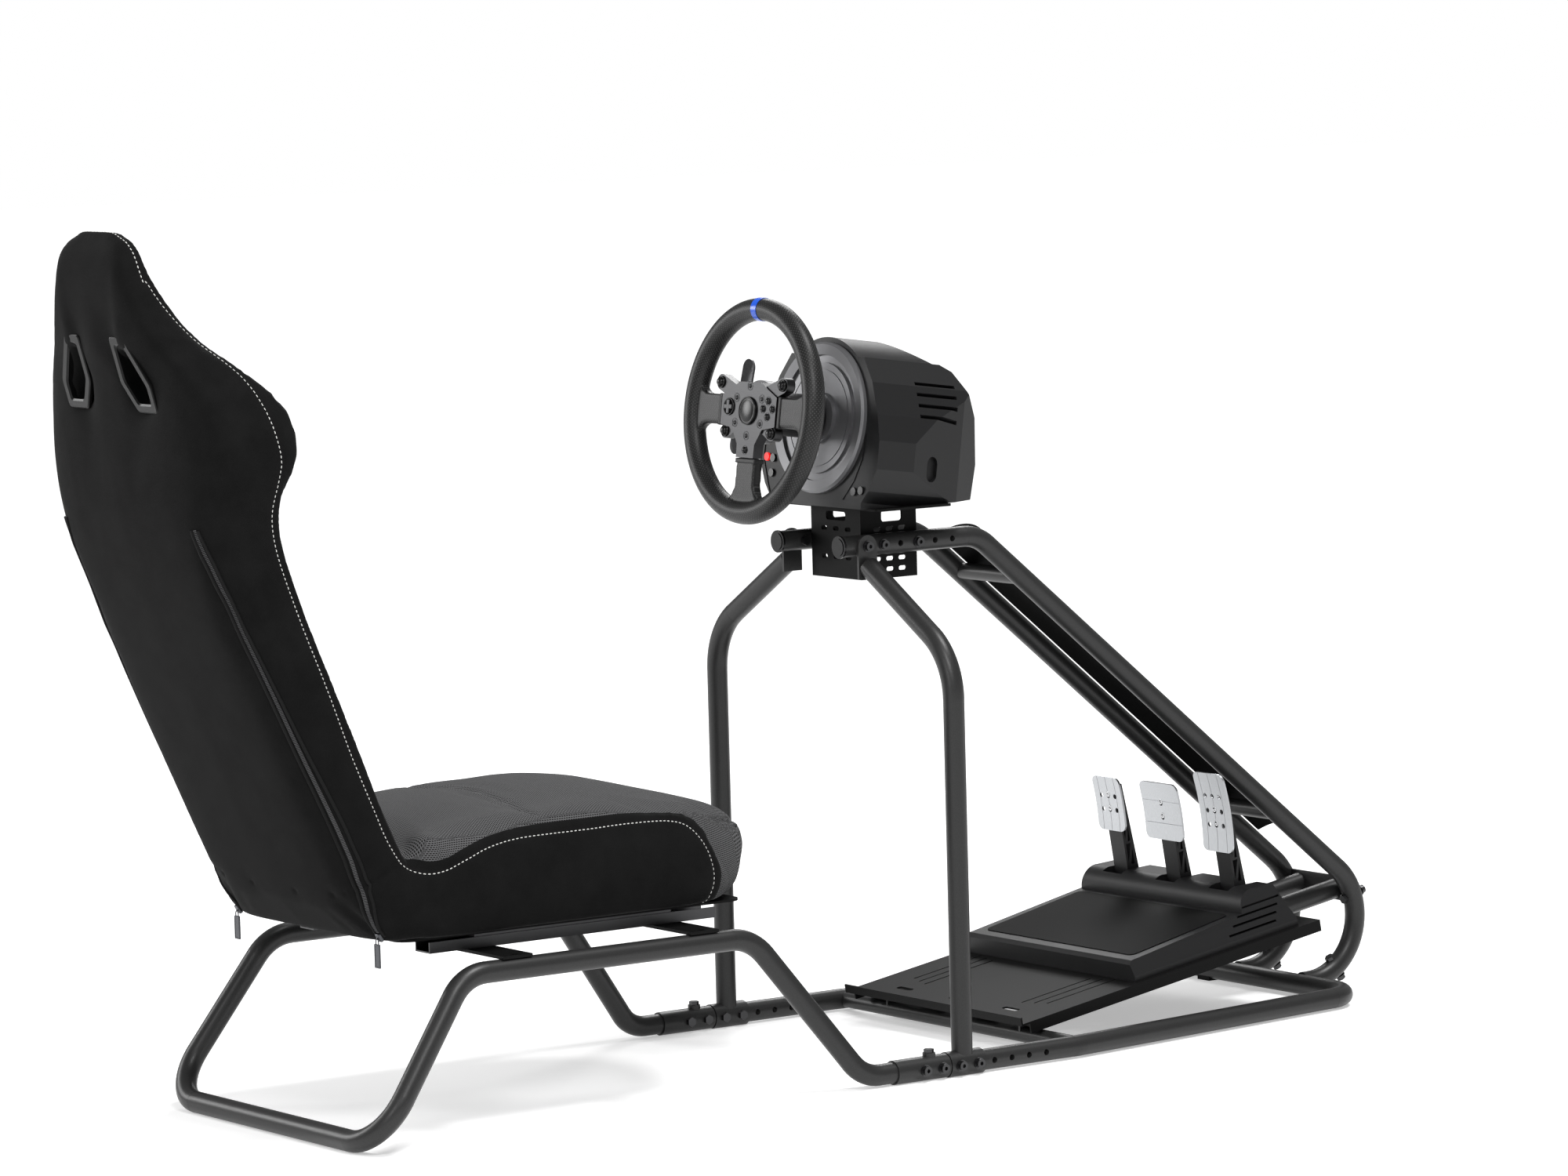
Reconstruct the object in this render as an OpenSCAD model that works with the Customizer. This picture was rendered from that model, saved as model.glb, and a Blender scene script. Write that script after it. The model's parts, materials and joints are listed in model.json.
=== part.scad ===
// A sim racing cockpit: bent steel tube frame on the floor, bucket seat on slide rails,
// steering wheel unit on a raised deck, pedal set on a sloping slotted plate.
// Millimetres. +Y is the way the driver faces, +X the driver's right, +Z up.
// Lengths along Y are measured from the two uprights, then all is moved by shift_y.

/* [Tubes] */
// Outside diameter of the frame tubes
tube_d = 28; // [24:1:32]
// Outside diameter of the receivers that hold the front rails
receiver_d = 32; // [30:1:36]
// Play between a rail and the receiver or sleeve around it
rail_play = 0.05; // [0.02:0.01:0.1]
// Pitch of the adjustment holes
hole_pitch = 28.6; // [24:0.2:32]
// Diameter of the bolts in the tubes
bolt_d = 8; // [6:0.5:9]

/* [Seat frame] */
// Half the distance between the two side rails, at their axes
track_half = 270; // [240:5:300]
// Half the width of the seat frame at its top rails, at the axes
seat_top_half = 235; // [215:5:250]
// Half the width of the rear floor bar, at the corners
rear_half = 258; // [240:2:275]
// Rear floor bar behind the uprights
rear_bar_y = 888; // [840:4:920]
// Rear end of the top rails behind the uprights
top_rear_y = 744; // [700:4:780]
// Front end of the top rails behind the uprights
top_front_y = 308; // [280:4:340]
// Where the front legs meet the floor, behind the uprights
leg_foot_y = 161; // [150:1:180]
// Height of the top rails' axis
top_rail_z = 211; // [190:1:230]
// Bend radius of the seat frame's corners
seat_bend_r = 62; // [50:2:75]

/* [Front frame] */
// Where the side rails start to run inwards, ahead of the uprights
kink_y = 190; // [170:2:210]
// Front bar ahead of the uprights
front_bar_y = 731; // [700:1:760]
// Half the width of the front frame at the front bar
front_half = 203; // [190:1:215]
// Bend radius of the front corners
front_bend_r = 55; // [40:1:70]
// Height of the rails' axis above the floor
rail_z = 16; // [16:1:18]
// Bar under the heel end of the pedal plate, ahead of the uprights
heel_bar_y = 196; // [180:1:215]
// Length of the saddle at the foot of each upright
saddle_len = 56; // [48:1:60]

/* [Uprights] */
// How far below the arms' axis the uprights' tubes end
upright_drop = 27; // [22:1:34]
// Bend radius of the uprights
upright_bend_r = 95; // [80:5:110]
// Slope of the upper part of an upright
upright_slope = 31.3; // [28:0.1:34]

/* [Arms] */
// Half the distance between the two arms, at their axes
arm_half = 70; // [64:1:76]
// Height of the level part of the arms
arm_z = 684; // [660:2:700]
// Rear end of the arms behind the uprights
arm_end_y = 32; // [28:1:40]
// Where the arms bend down, ahead of the uprights
arm_bend_y = 193; // [185:1:205]
// Bend radius at the top of the arms
arm_bend_r = 60; // [50:2:75]
// Slope of the long part of the arms
arm_slope = 39.7; // [38:0.1:41]
// Radius of the round foot of the arms
foot_r = 87; // [80:1:95]
// Diameter of the two rungs between the arms
rung_d = 22; // [18:1:25]
// Thickness of the cover between the arms
cover_t = 2; // [1.5:0.5:3]

/* [Wheel deck] */
// Width of the deck plate
deck_w = 250; // [230:5:270]
// Depth of the deck plate
deck_d = 124; // [110:2:140]
// Height of the deck plate's top above the arms' axis
deck_rise = 51; // [44:1:60]
// Thickness of the deck plate and its bracket
deck_t = 3; // [2:0.5:4]
// Rear edge of the deck behind the uprights
deck_rear_y = 9; // [4:1:14]
// Depth of the bracket under the deck
bracket_d = 92; // [80:2:100]
// Height of the bracket's side leaves
bracket_h = 96; // [88:1:104]

/* [Pedal plate] */
// Width of the pedal plate
plate_w = 400; // [380:5:420]
// Length of the pedal plate along its slope
plate_len = 526; // [500:2:540]
// Thickness of the pedal plate
plate_t = 2.5; // [2:0.5:3]
// Rear edge of the pedal plate ahead of the uprights
plate_rear_y = 152; // [145:1:160]
// Height of the plate's rear edge
plate_rear_z = 40; // [38:1:46]
// Slope of the pedal plate
plate_slope = 9.4; // [8.6:0.1:10]
// Height of the folded side flanges
flange_h = 16; // [12:1:20]

/* [Seat] */
// Widest part of the backrest, at the shoulders
shoulder_w = 440; // [420:5:460]
// Width of the backrest at the waist
waist_w = 404; // [380:5:415]
// Height of the top of the backrest
seat_top_z = 1152; // [1100:2:1200]
// Width of the seat cushion
cushion_w = 400; // [380:2:420]
// Nose of the seat cushion behind the uprights
cushion_front_y = 178; // [160:2:210]
// Height of the slide rails
slide_h = 14; // [12:1:16]
// Half the distance between the slide rails
slide_half = 140; // [130:1:160]

/* [Steering wheel] */
// Outside diameter of the rim
rim_d = 300; // [280:5:320]
// Thickness of the rim's grip
grip_d = 30; // [26:1:34]
// Height of the steering axis above the deck
axis_h = 116; // [112:1:150]
// Tilt of the steering axis
axis_tilt = 8; // [4:1:12]
// Length of a shift paddle between the centres of its round ends
paddle_len = 104; // [90:2:110]

/* [Pedals] */
// Width of the pedal base
pedal_base_w = 380; // [360:5:390]
// Depth of the pedal base
pedal_base_d = 290; // [280:5:300]
// Distance between neighbouring pedals
pedal_pitch = 118; // [110:1:125]
// Length of a pedal arm above its pivot
pedal_arm_len = 158; // [150:2:166]

/* [Hidden] */
$fn = 48;
tube_r = tube_d / 2;
eps = 0.5;
bend_lap = 1;
bend_swell = 0.1;

// Directions and lengths of vectors
function unit(v) = v / norm(v);
function turn_of(u, v) = acos(max(-1, min(1, u * v)));
// Length of tube that a bend takes on each side of its corner
function bend_len(p, i, r) =
    r * tan(turn_of(unit(p[i] - p[i - 1]), unit(p[i + 1] - p[i])) / 2);
function bend_in(p, r, i) = i == 0 || i == len(p) - 1 ? 0 : bend_len(p, i, r[i]);

// Straight round bar between two points
module bar(a, b, d) {
    u = unit(b - a);
    translate(a)
        rotate([0, acos(u[2]), atan2(u[1], u[0])])
            cylinder(d = d, h = norm(b - a));
}

// Round elbow at corner p[i] of a path
module elbow(p, i, r, d) {
    u = unit(p[i] - p[i - 1]);
    v = unit(p[i + 1] - p[i]);
    n = unit(v - u * (u * v));
    w = cross(u, n);
    c = p[i] - u * bend_len(p, i, r) + n * r;
    multmatrix([
        [-n[0], u[0], w[0], c[0]],
        [-n[1], u[1], w[1], c[1]],
        [-n[2], u[2], w[2], c[2]],
        [0, 0, 0, 1]
    ])
        rotate_extrude(angle = turn_of(u, v))
            translate([r, 0])
                circle(d = d);
}

// Bent tube through the points p, with a bend radius at each inner point. A bend is a
// hair thicker than the tube, and the straight lengths reach a little way into it.
module bent_tube(p, r, d = tube_d) {
    for (i = [0:len(p) - 2]) {
        u = unit(p[i + 1] - p[i]);
        back = i == 0 ? 0 : bend_lap;
        on = i == len(p) - 2 ? 0 : bend_lap;
        bar(p[i] + u * (bend_in(p, r, i) - back), p[i + 1] - u * (bend_in(p, r, i + 1) - on), d);
    }
    for (i = [1:1:len(p) - 2])
        elbow(p, i, r[i], d + 2 * bend_swell);
}

// Slot with round ends along X, w long and h high, through thickness t along Z
module oval(w, h, t) {
    for (s = [-1, 1])
        translate([s * (w - h) / 2, 0, 0])
            cylinder(d = h, h = t, $fn = 24);
    translate([-(w - h) / 2, -h / 2, 0])
        cube([w - h, h, t]);
}

// Flat plate in X and Y with rounded corners, from z = 0 up
module round_plate(w, d, t, r) {
    linear_extrude(t)
        round_rect(w, d, r);
}

module round_rect(w, d, r) {
    square([w - 2 * r, d], center = true);
    square([w, d - 2 * r], center = true);
    for (x = [-1, 1], y = [-1, 1])
        translate([x * (w / 2 - r), y * (d / 2 - r)])
            circle(r = r, $fn = 24);
}

washer_d = 1.9 * bolt_d;
washer_t = 1.6;
head_d = 1.5 * bolt_d;
head_h = washer_t + 0.65 * bolt_d;
nut_d = 1.7 * bolt_d;
nut_h = 0.6 * bolt_d;

// Bolt with a round socket head, washer and nut, along +Z from the head's seat at z = 0
module bolt(grip) {
    difference() {
        union() {
            cylinder(d = washer_d, h = washer_t);
            cylinder(d = head_d, h = head_h);
        }
        translate([0, 0, head_h / 2])
            cylinder(d = bolt_d * 0.7, h = head_h, $fn = 6);
    }
    translate([0, 0, -grip - nut_h])
        cylinder(d = bolt_d, h = grip + nut_h + eps);
    translate([0, 0, -grip - nut_h])
        cylinder(d = nut_d, h = nut_h, $fn = 6);
}

// Hole for such a bolt, along Z through everything near the origin
module bolt_hole(len, d = bolt_d + 2 * rail_play) {
    translate([0, 0, -len / 2])
        cylinder(d = d, h = len);
}

// Places along the right rail: bolts of the receiver, bolts of the saddle, free holes
receiver_bolt_y = [for (k = [1, 2]) -hole_pitch * (k + 0.5)];
saddle_bolt_y = [-hole_pitch / 2, hole_pitch / 2];
free_hole_y = [for (k = [1:4]) hole_pitch * (k + 0.5)];
receiver_front_y = -saddle_len / 2 - 1;
receiver_back_y = receiver_bolt_y[1] - 42;
rail_end_y = receiver_bolt_y[1] - 40;
bore_d = tube_d + 2 * rail_play;

seat_path = [
    [track_half, rail_end_y - 2, rail_z],
    [track_half, -leg_foot_y, rail_z],
    [seat_top_half, -top_front_y, top_rail_z],
    [seat_top_half, -top_rear_y, top_rail_z],
    [rear_half, -rear_bar_y, tube_r + bend_swell],
    [-rear_half, -rear_bar_y, tube_r + bend_swell],
    [-seat_top_half, -top_rear_y, top_rail_z],
    [-seat_top_half, -top_front_y, top_rail_z],
    [-track_half, -leg_foot_y, rail_z],
    [-track_half, rail_end_y - 2, rail_z]
];
foot_bend_r = seat_bend_r * 0.8;
seat_bends = [
    0, foot_bend_r, seat_bend_r, seat_bend_r, seat_bend_r,
    seat_bend_r, seat_bend_r, seat_bend_r, foot_bend_r, 0
];

// Set screw from above in a boss of each receiver
set_y = -54;
boss_d = 17;
boss_z = rail_z + receiver_d / 2 + 4;

module seat_frame() color("#2b2c2f")
    difference() {
        union() {
            bent_tube(seat_path, seat_bends);
            for (s = [-1, 1]) {
                bar([s * track_half, receiver_back_y, rail_z],
                    [s * track_half, receiver_front_y, rail_z], receiver_d);
                translate([s * track_half, set_y, rail_z])
                    cylinder(d = boss_d, h = boss_z - rail_z);
            }
        }
        for (s = [-1, 1]) {
            bar([s * track_half, rail_end_y - 1, rail_z],
                [s * track_half, receiver_front_y + 1, rail_z], bore_d);
            for (y = receiver_bolt_y)
                translate([s * track_half, y, rail_z])
                    rotate([0, 90, 0])
                        bolt_hole(2 * receiver_d);
            translate([s * track_half, set_y, rail_z])
                cylinder(d = bolt_d + 2 * rail_play, h = 2 * boss_z);
        }
    }

kink_r = 120;
base_path = [
    [track_half, rail_end_y, rail_z],
    [track_half, kink_y, rail_z],
    [front_half, front_bar_y, rail_z],
    [-front_half, front_bar_y, rail_z],
    [-track_half, kink_y, rail_z],
    [-track_half, rail_end_y, rail_z]
];

module base_frame() color("#2b2c2f")
    difference() {
        bent_tube(base_path, [0, kink_r, front_bend_r, front_bend_r, kink_r, 0]);
        for (s = [-1, 1], y = concat(receiver_bolt_y, saddle_bolt_y, free_hole_y))
            translate([s * track_half, y, rail_z])
                rotate([0, 90, 0])
                    bolt_hole(2 * receiver_d);
    }

// Pads that fill the gap between the front bar and the floor
foot_x = 120;
foot_len = 26;
foot_w = 20;

module front_feet() color("#101011")
    difference() {
        for (s = [-1, 1])
            translate([s * foot_x - foot_len / 2, front_bar_y - foot_w / 2, 0])
                cube([foot_len, foot_w, rail_z]);
        bar([-front_half, front_bar_y, rail_z], [front_half, front_bar_y, rail_z], tube_d);
    }

// Ears of the heel bar that carry the pedal plate
ear_x = 150;
ear_t = 4;
ear_w = 20;

// Distance from the middle to the rails' axes at y
function rail_x(y) =
    y <= kink_y ? track_half
    : track_half - (track_half - front_half) * (y - kink_y) / (front_bar_y - kink_y);

module heel_bar() color("#26272a")
    difference() {
        union() {
            bar([-track_half, heel_bar_y, rail_z], [track_half, heel_bar_y, rail_z], tube_d - 6);
            for (s = [-1, 1])
                translate([s * ear_x - ear_t / 2, heel_bar_y - ear_w / 2, rail_z])
                    cube([ear_t, ear_w, 2 * plate_rear_z]);
        }
        on_plate(-plate_len / 2, -plate_t)
            translate([-plate_w, 0, 0])
                cube([2 * plate_w, 2 * plate_len, 2 * plate_rear_z]);
        for (s = [-1, 1])
            bar([s * track_half, heel_bar_y - tube_d, rail_z],
                [s * rail_x(heel_bar_y + tube_d), heel_bar_y + tube_d, rail_z], tube_d);
    }

// Uprights: saddle over the side rail, bent tube, and a bolted tab beside the arm
tab_x = arm_half + tube_r;
tab_t = 4;
tab_w = 30;
upright_in = track_half - tab_x - tab_t - 2;
upright_top_z = arm_z - upright_drop;
upright_bend_z = upright_top_z - upright_in * tan(upright_slope);
saddle_d = tube_d + 6;

module upright() color("#2d2e31")
    difference() {
        union() {
            bent_tube([
                [track_half, 0, rail_z],
                [track_half, 0, upright_bend_z],
                [track_half - upright_in, 0, upright_top_z]
            ], [0, upright_bend_r, 0]);
            bar([track_half, -saddle_len / 2, rail_z], [track_half, saddle_len / 2, rail_z], saddle_d);
            translate([tab_x, -tab_w / 2, upright_top_z - 16])
                cube([tab_t, tab_w, arm_z - upright_top_z + 16]);
            translate([tab_x, 0, arm_z])
                rotate([0, 90, 0])
                    cylinder(d = tab_w, h = tab_t);
        }
        bar([track_half, -saddle_len, rail_z], [track_half, saddle_len, rail_z], bore_d);
        translate([track_half, 0, -saddle_d])
            cube([2 * saddle_d, 2 * saddle_len, 2 * saddle_d], center = true);
        translate([tab_x, 0, arm_z])
            rotate([0, 90, 0])
                bolt_hole(4 * tab_t);
        translate([tab_x - tube_d, -tube_r - 1, 0])
            cube([tube_d, tube_d + 2, arm_z]);
        for (y = saddle_bolt_y)
            translate([track_half, y, rail_z])
                rotate([0, 90, 0])
                    bolt_hole(2 * saddle_d);
    }

module upright_right() upright();
module upright_left() mirror([1, 0, 0]) upright();

// Arms: level top with bolt holes, long slope, round foot that meets the front bar
arm_drop = arm_z - rail_z;
arm_foot_y = arm_bend_y + arm_drop / tan(arm_slope);
arm_path = [
    [arm_half, -arm_end_y, arm_z],
    [arm_half, arm_bend_y, arm_z],
    [arm_half, arm_foot_y, rail_z],
    [arm_half, front_bar_y + tube_r, rail_z]
];
arm_bends = [0, arm_bend_r, foot_r, 0];
// Centre of the round foot, and angles of its two bolts above the level
foot_c_y = arm_foot_y - bend_len(arm_path, 2, foot_r);
foot_c_z = rail_z + foot_r;
foot_bolt_a = [18, -56];
arm_hole_y = [for (k = [0:5]) hole_pitch * k];

module arm() color("#2d2e31")
    difference() {
        bent_tube(arm_path, arm_bends);
        for (y = arm_hole_y)
            translate([arm_half, y, arm_z])
                rotate([0, 90, 0])
                    bolt_hole(2 * tube_d);
        for (a = foot_bolt_a)
            translate([arm_half, foot_c_y, foot_c_z])
                rotate([a - 90, 0, 0])
                    translate([0, 0, foot_r])
                        bolt_hole(2 * tube_d);
    }

module arm_right() arm();
module arm_left() mirror([1, 0, 0]) arm();

// Plastic caps on the arms' rear ends
cap_t = 3;
cap_step = 5;

module arm_caps() color("#111213")
    for (s = [-1, 1])
        translate([s * arm_half, -arm_end_y, arm_z])
            rotate([90, 0, 0]) {
                cylinder(d = tube_d + 2, h = cap_t);
                cylinder(d = tube_d - cap_step, h = cap_t + 1);
            }

// A frame on the arms' slope: origin at the bend, Y down the slope, Z out of its top
module on_slope(y) {
    translate([0, arm_bend_y, arm_z])
        rotate([-arm_slope, 0, 0])
            translate([0, y, 0])
                children();
}
slope_len = norm([arm_foot_y - arm_bend_y, arm_drop]) - bend_len(arm_path, 2, foot_r);
rung_at = [96, slope_len - 140];
cover_stop = 60;
inner_w = 2 * (arm_half - tube_r);

module arm_rungs() color("#26272a")
    for (y = rung_at)
        on_slope(y)
            difference() {
                bar([-arm_half, 0, 0], [arm_half, 0, 0], rung_d);
                for (s = [-1, 1])
                    bar([s * arm_half, -tube_d, 0], [s * arm_half, tube_d, 0], tube_d);
            }

cover_rise = 22;
cover_r = (pow(inner_w / 2, 2) + pow(cover_rise, 2)) / (2 * cover_rise);
cover_start = 26;

// The cover is a shallow arch of sheet, held on the rungs between the arms
module arm_cover() color("#1c1d20")
    on_slope(cover_start)
        rotate([-90, 0, 0])
            linear_extrude(slope_len - cover_start - cover_stop)
                mirror([0, 1])
                    translate([0, rung_d / 2 + cover_rise - cover_r])
                        difference() {
                            intersection() {
                                circle(r = cover_r, $fn = 96);
                                translate([-inner_w / 2 + 0.3, cover_r - cover_rise])
                                    square([inner_w - 0.6, cover_rise]);
                            }
                            circle(r = cover_r - cover_t, $fn = 96);
                        }

// Frame of the pedal plate: origin at its rear edge, Y up its slope, Z out of its top
module on_plate(y, z = 0) {
    translate([0, plate_rear_y, plate_rear_z])
        rotate([plate_slope, 0, 0])
            translate([0, y, z])
                children();
}
support_d = tube_d;
support_half = 40;
support_start = 330;
gusset_t = 4;
gusset_h = 34;
gusset_up = 34;
gusset_y = foot_c_y + sqrt(foot_r * foot_r - gusset_up * gusset_up) + gusset_t / 2;
gusset_z = foot_c_z + gusset_up;

// Cross plate between the arms' round feet, where the support tubes start
module front_gusset() color("#202124")
    difference() {
        translate([-arm_half, gusset_y - gusset_t, gusset_z - gusset_h / 2])
            cube([2 * arm_half, gusset_t, gusset_h]);
        for (s = [-1, 1])
            mirror([s < 0 ? 1 : 0, 0, 0]) {
                elbow(arm_path, 2, foot_r, tube_d + 2 * bend_swell);
                translate([arm_half, gusset_y - 2 * gusset_t, gusset_z - gusset_h])
                    cube([tube_d, 4 * gusset_t, 2 * gusset_h]);
            }
    }

plate_y_cos = cos(plate_slope);
gusset_on_plate = (gusset_y - gusset_t - plate_rear_y) / plate_y_cos;
support_z = -plate_t - support_d / 2;

module pedal_supports() color("#2b2c2f")
    difference() {
        on_plate(0, support_z)
            for (s = [-1, 1])
                bar([s * support_half, support_start, 0],
                    [s * support_half, gusset_on_plate + 20, 0], support_d);
        translate([-arm_half, gusset_y - gusset_t, 0])
            cube([2 * arm_half, 4 * tube_d, arm_z]);
    }

lip_h = 9;
lug_y = 520 - 12;
lug_w = 34;
lug_h = 56;

// Slotted sheet with side flanges folded down, a heel lip folded up, and two lugs
module pedal_plate() color("#1f2023")
    on_plate(0)
        difference() {
            union() {
                translate([-plate_w / 2, 0, -plate_t])
                    cube([plate_w, plate_len, plate_t]);
                for (s = [-1, 1])
                    translate([s * (plate_w - plate_t) / 2 - plate_t / 2, 14, -flange_h])
                        cube([plate_t, plate_len - 14, flange_h]);
                translate([-plate_w / 2, 0, -plate_t])
                    cube([plate_w, plate_t, lip_h + plate_t]);
                for (s = [-1, 1])
                    translate([s * 68 - plate_t / 2, lug_y - lug_w, -lug_h])
                        cube([plate_t, lug_w, lug_h]);
            }
            plate_slots();
            for (s = [-1, 1])
                translate([s * 68, lug_y - lug_w / 2, -lug_h + 14])
                    rotate([0, 90, 0])
                        bolt_hole(20, 9);
        }

short_slot = [20, 7];
long_slot_w = 3;

// Oval slots run along Y: clusters of short ones, long thin ones, wide ones at the heel
module plate_slots() {
    for (s = [-1, 1], i = [0:2], j = [0:4])
        translate([s * (84 + 18 * i), 250 + 30 * j, -2 * plate_t])
            rotate([0, 0, 90])
                oval(short_slot[0], short_slot[1], 4 * plate_t);
    for (s = [-1, 1], i = [0:2])
        translate([s * (16 + 14 * i), 330 + 14 * i, -2 * plate_t])
            rotate([0, 0, 90])
                oval(190, long_slot_w, 4 * plate_t);
    for (s = [-1, 1], i = [0:2])
        translate([s * (110 + 20 * i), 130 + 6 * i, -2 * plate_t])
            rotate([0, 0, 90])
                oval(120, long_slot_w, 4 * plate_t);
    for (s = [-1, 0, 1])
        translate([s * 120, 44, -2 * plate_t])
            oval(34, 9, 4 * plate_t);
}

// Bracket of folded sheet between the arms, and the deck plate on its top flange
bracket_w = inner_w;
bracket_rear_y = 12;
deck_z = arm_z + deck_rise;
bracket_top_z = deck_z - deck_t;
leaf_slot = [13, 6];

module bracket_outline() {
    difference() {
        square([bracket_w, bracket_d]);
        translate([deck_t, deck_t])
            square([bracket_w - 2 * deck_t, bracket_d]);
    }
}

rear_window = [44, 12];
side_window = [34, 15];
window_z = 13;
slot_x = [0.26, 0.5, 0.74];
slot_y = [0.3, 0.52, 0.74];

module deck_bracket() color("#232427")
    translate([-bracket_w / 2, bracket_rear_y, 0])
        difference() {
            union() {
                translate([0, 0, bracket_top_z - bracket_h])
                    linear_extrude(bracket_h)
                        bracket_outline();
                translate([0, 0, bracket_top_z - deck_t])
                    cube([bracket_w, bracket_d, deck_t]);
            }
            translate([bracket_w / 2, -deck_t, bracket_top_z - window_z])
                rotate([-90, 0, 0])
                    round_plate(rear_window[0], rear_window[1], 3 * deck_t, 4);
            translate([-deck_t, bracket_d * 0.56, bracket_top_z - window_z])
                rotate([90, 0, 90])
                    round_plate(side_window[0], side_window[1], bracket_w + 2 * deck_t, 4);
            for (x = slot_x, z = [30, 68])
                translate([bracket_w * x, -deck_t, bracket_top_z - z])
                    rotate([-90, 0, 0])
                        oval(leaf_slot[0], leaf_slot[1], 3 * deck_t);
            for (y = slot_y, z = [30, 70, 84])
                translate([-deck_t, bracket_d * y, bracket_top_z - z])
                    rotate([90, 0, 90])
                        oval(leaf_slot[0], leaf_slot[1], bracket_w + 2 * deck_t);
            for (y = [1, 3])
                translate([bracket_w / 2, hole_pitch * y - bracket_rear_y, arm_z])
                    rotate([0, 90, 0])
                        bolt_hole(2 * bracket_w);
        }

module wheel_deck() color("#2a2b2e")
    translate([0, deck_d / 2 - deck_rear_y, deck_z - deck_t])
        difference() {
            round_plate(deck_w, deck_d, deck_t, 8);
            for (x = [-1, 1], y = [-1, 1])
                translate([x * deck_w * 0.33, y * deck_d * 0.3, -deck_t])
                    rotate([0, 0, 90])
                        oval(24, 7, 3 * deck_t);
        }

module frame_bolts() color("#6f7175")
    for (s = [-1, 1])
        mirror([s < 0 ? 1 : 0, 0, 0]) {
            for (y = receiver_bolt_y)
                translate([track_half + receiver_d / 2, y, rail_z])
                    rotate([0, 90, 0])
                        bolt(receiver_d);
            for (y = saddle_bolt_y)
                translate([track_half + saddle_d / 2, y, rail_z])
                    rotate([0, 90, 0])
                        bolt(saddle_d);
            translate([track_half, set_y, rail_z + tube_r + rail_play]) {
                cylinder(d = bolt_d, h = boss_z + nut_h - rail_z - tube_r - rail_play);
                translate([0, 0, boss_z - rail_z - tube_r - rail_play])
                    cylinder(d = nut_d, h = nut_h, $fn = 6);
            }
        }

module arm_bolts() color("#6f7175") {
    for (s = [-1, 1])
        mirror([s < 0 ? 1 : 0, 0, 0]) {
            translate([tab_x + tab_t, 0, arm_z])
                rotate([0, 90, 0])
                    bolt(tube_d + tab_t);
            for (k = [1, 3])
                translate([tab_x, arm_hole_y[k], arm_z])
                    rotate([0, 90, 0])
                        bolt(tube_d + deck_t);
            for (a = foot_bolt_a)
                translate([arm_half, foot_c_y, foot_c_z])
                    rotate([a - 90, 0, 0])
                        translate([0, 0, foot_r + tube_r + bend_swell])
                            bolt(tube_d + 2 * bend_swell);
        }
}

// Slide rails on the two cross plates, and the runners that carry the seat
mount_t = 4;
mount_w = 44;
mount_top_z = top_rail_z + tube_r + mount_t;
mount_y = [-top_rear_y + 76, -top_front_y - 76];
slide_w = 34;
slide_wall = 2;
slide_len = top_rear_y - top_front_y;
slide_play = 0.1;
pan_rise = 5;
runner_len = 300;
runner_y = -(top_rear_y + top_front_y) / 2;
runner_z = mount_top_z + slide_wall + slide_play;
runner_h = slide_h - slide_wall - slide_play + pan_rise;
seat_z = runner_z + runner_h;

module seat_mounts() color("#222326")
    for (y = mount_y)
        difference() {
            translate([-seat_top_half - 8, y - mount_w / 2, mount_top_z - mount_t])
                cube([2 * seat_top_half + 16, mount_w, mount_t]);
            for (s = [-1, 1])
                translate([s * seat_top_half, y, mount_top_z])
                    bolt_hole(3 * mount_t);
        }

module slide_rails() color("#3a3b3e")
    for (s = [-1, 1])
        translate([s * slide_half - slide_w / 2, runner_y - slide_len / 2, mount_top_z])
            difference() {
                cube([slide_w, slide_len, slide_h]);
                translate([slide_wall, -1, slide_wall])
                    cube([slide_w - 2 * slide_wall, slide_len + 2, slide_h]);
            }

module slide_runners() color("#8b8d91")
    for (s = [-1, 1])
        translate([s * slide_half, runner_y - runner_len / 2, runner_z])
            translate([-(slide_w / 2 - slide_wall - slide_play), 0, 0])
                cube([slide_w - 2 * slide_wall - 2 * slide_play, runner_len, runner_h]);

pan_t = 3;
pan_w = 330;
pan_rear_y = 790;
pan_front_y = cushion_front_y + 90;

module seat_pan() color("#1b1c1e")
    translate([0, -(pan_rear_y + pan_front_y) / 2, seat_z])
        round_plate(pan_w, pan_rear_y - pan_front_y, pan_t, 20);

// Smooth curve through listed values: v[0] at the first station, one value per station
function spline(v, t) =
    let (
        n = len(v) - 1,
        i = max(0, min(n - 1, floor(t))),
        f = t - i,
        a = v[max(0, i - 1)],
        b = v[i],
        c = v[i + 1],
        d = v[min(n, i + 2)]
    )
    b + f * ((c - a) / 2 + f * (a - 2.5 * b + 2 * c - d / 2 + f * (1.5 * (b - c) + (d - a) / 2)));

// Closed skin over rings of points: each ring has the same number of points
module loft(rings) {
    n = len(rings[0]);
    m = len(rings);
    polyhedron(
        points = [for (r = rings) each r],
        faces = concat(
            [[for (j = [0:n - 1]) j]],
            [for (i = [0:m - 2], j = [0:n - 1])
                [i * n + j, (i + 1) * n + j, (i + 1) * n + (j + 1) % n, i * n + (j + 1) % n]],
            [[for (j = [n - 1:-1:0]) (m - 1) * n + j]]
        )
    );
}

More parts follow.
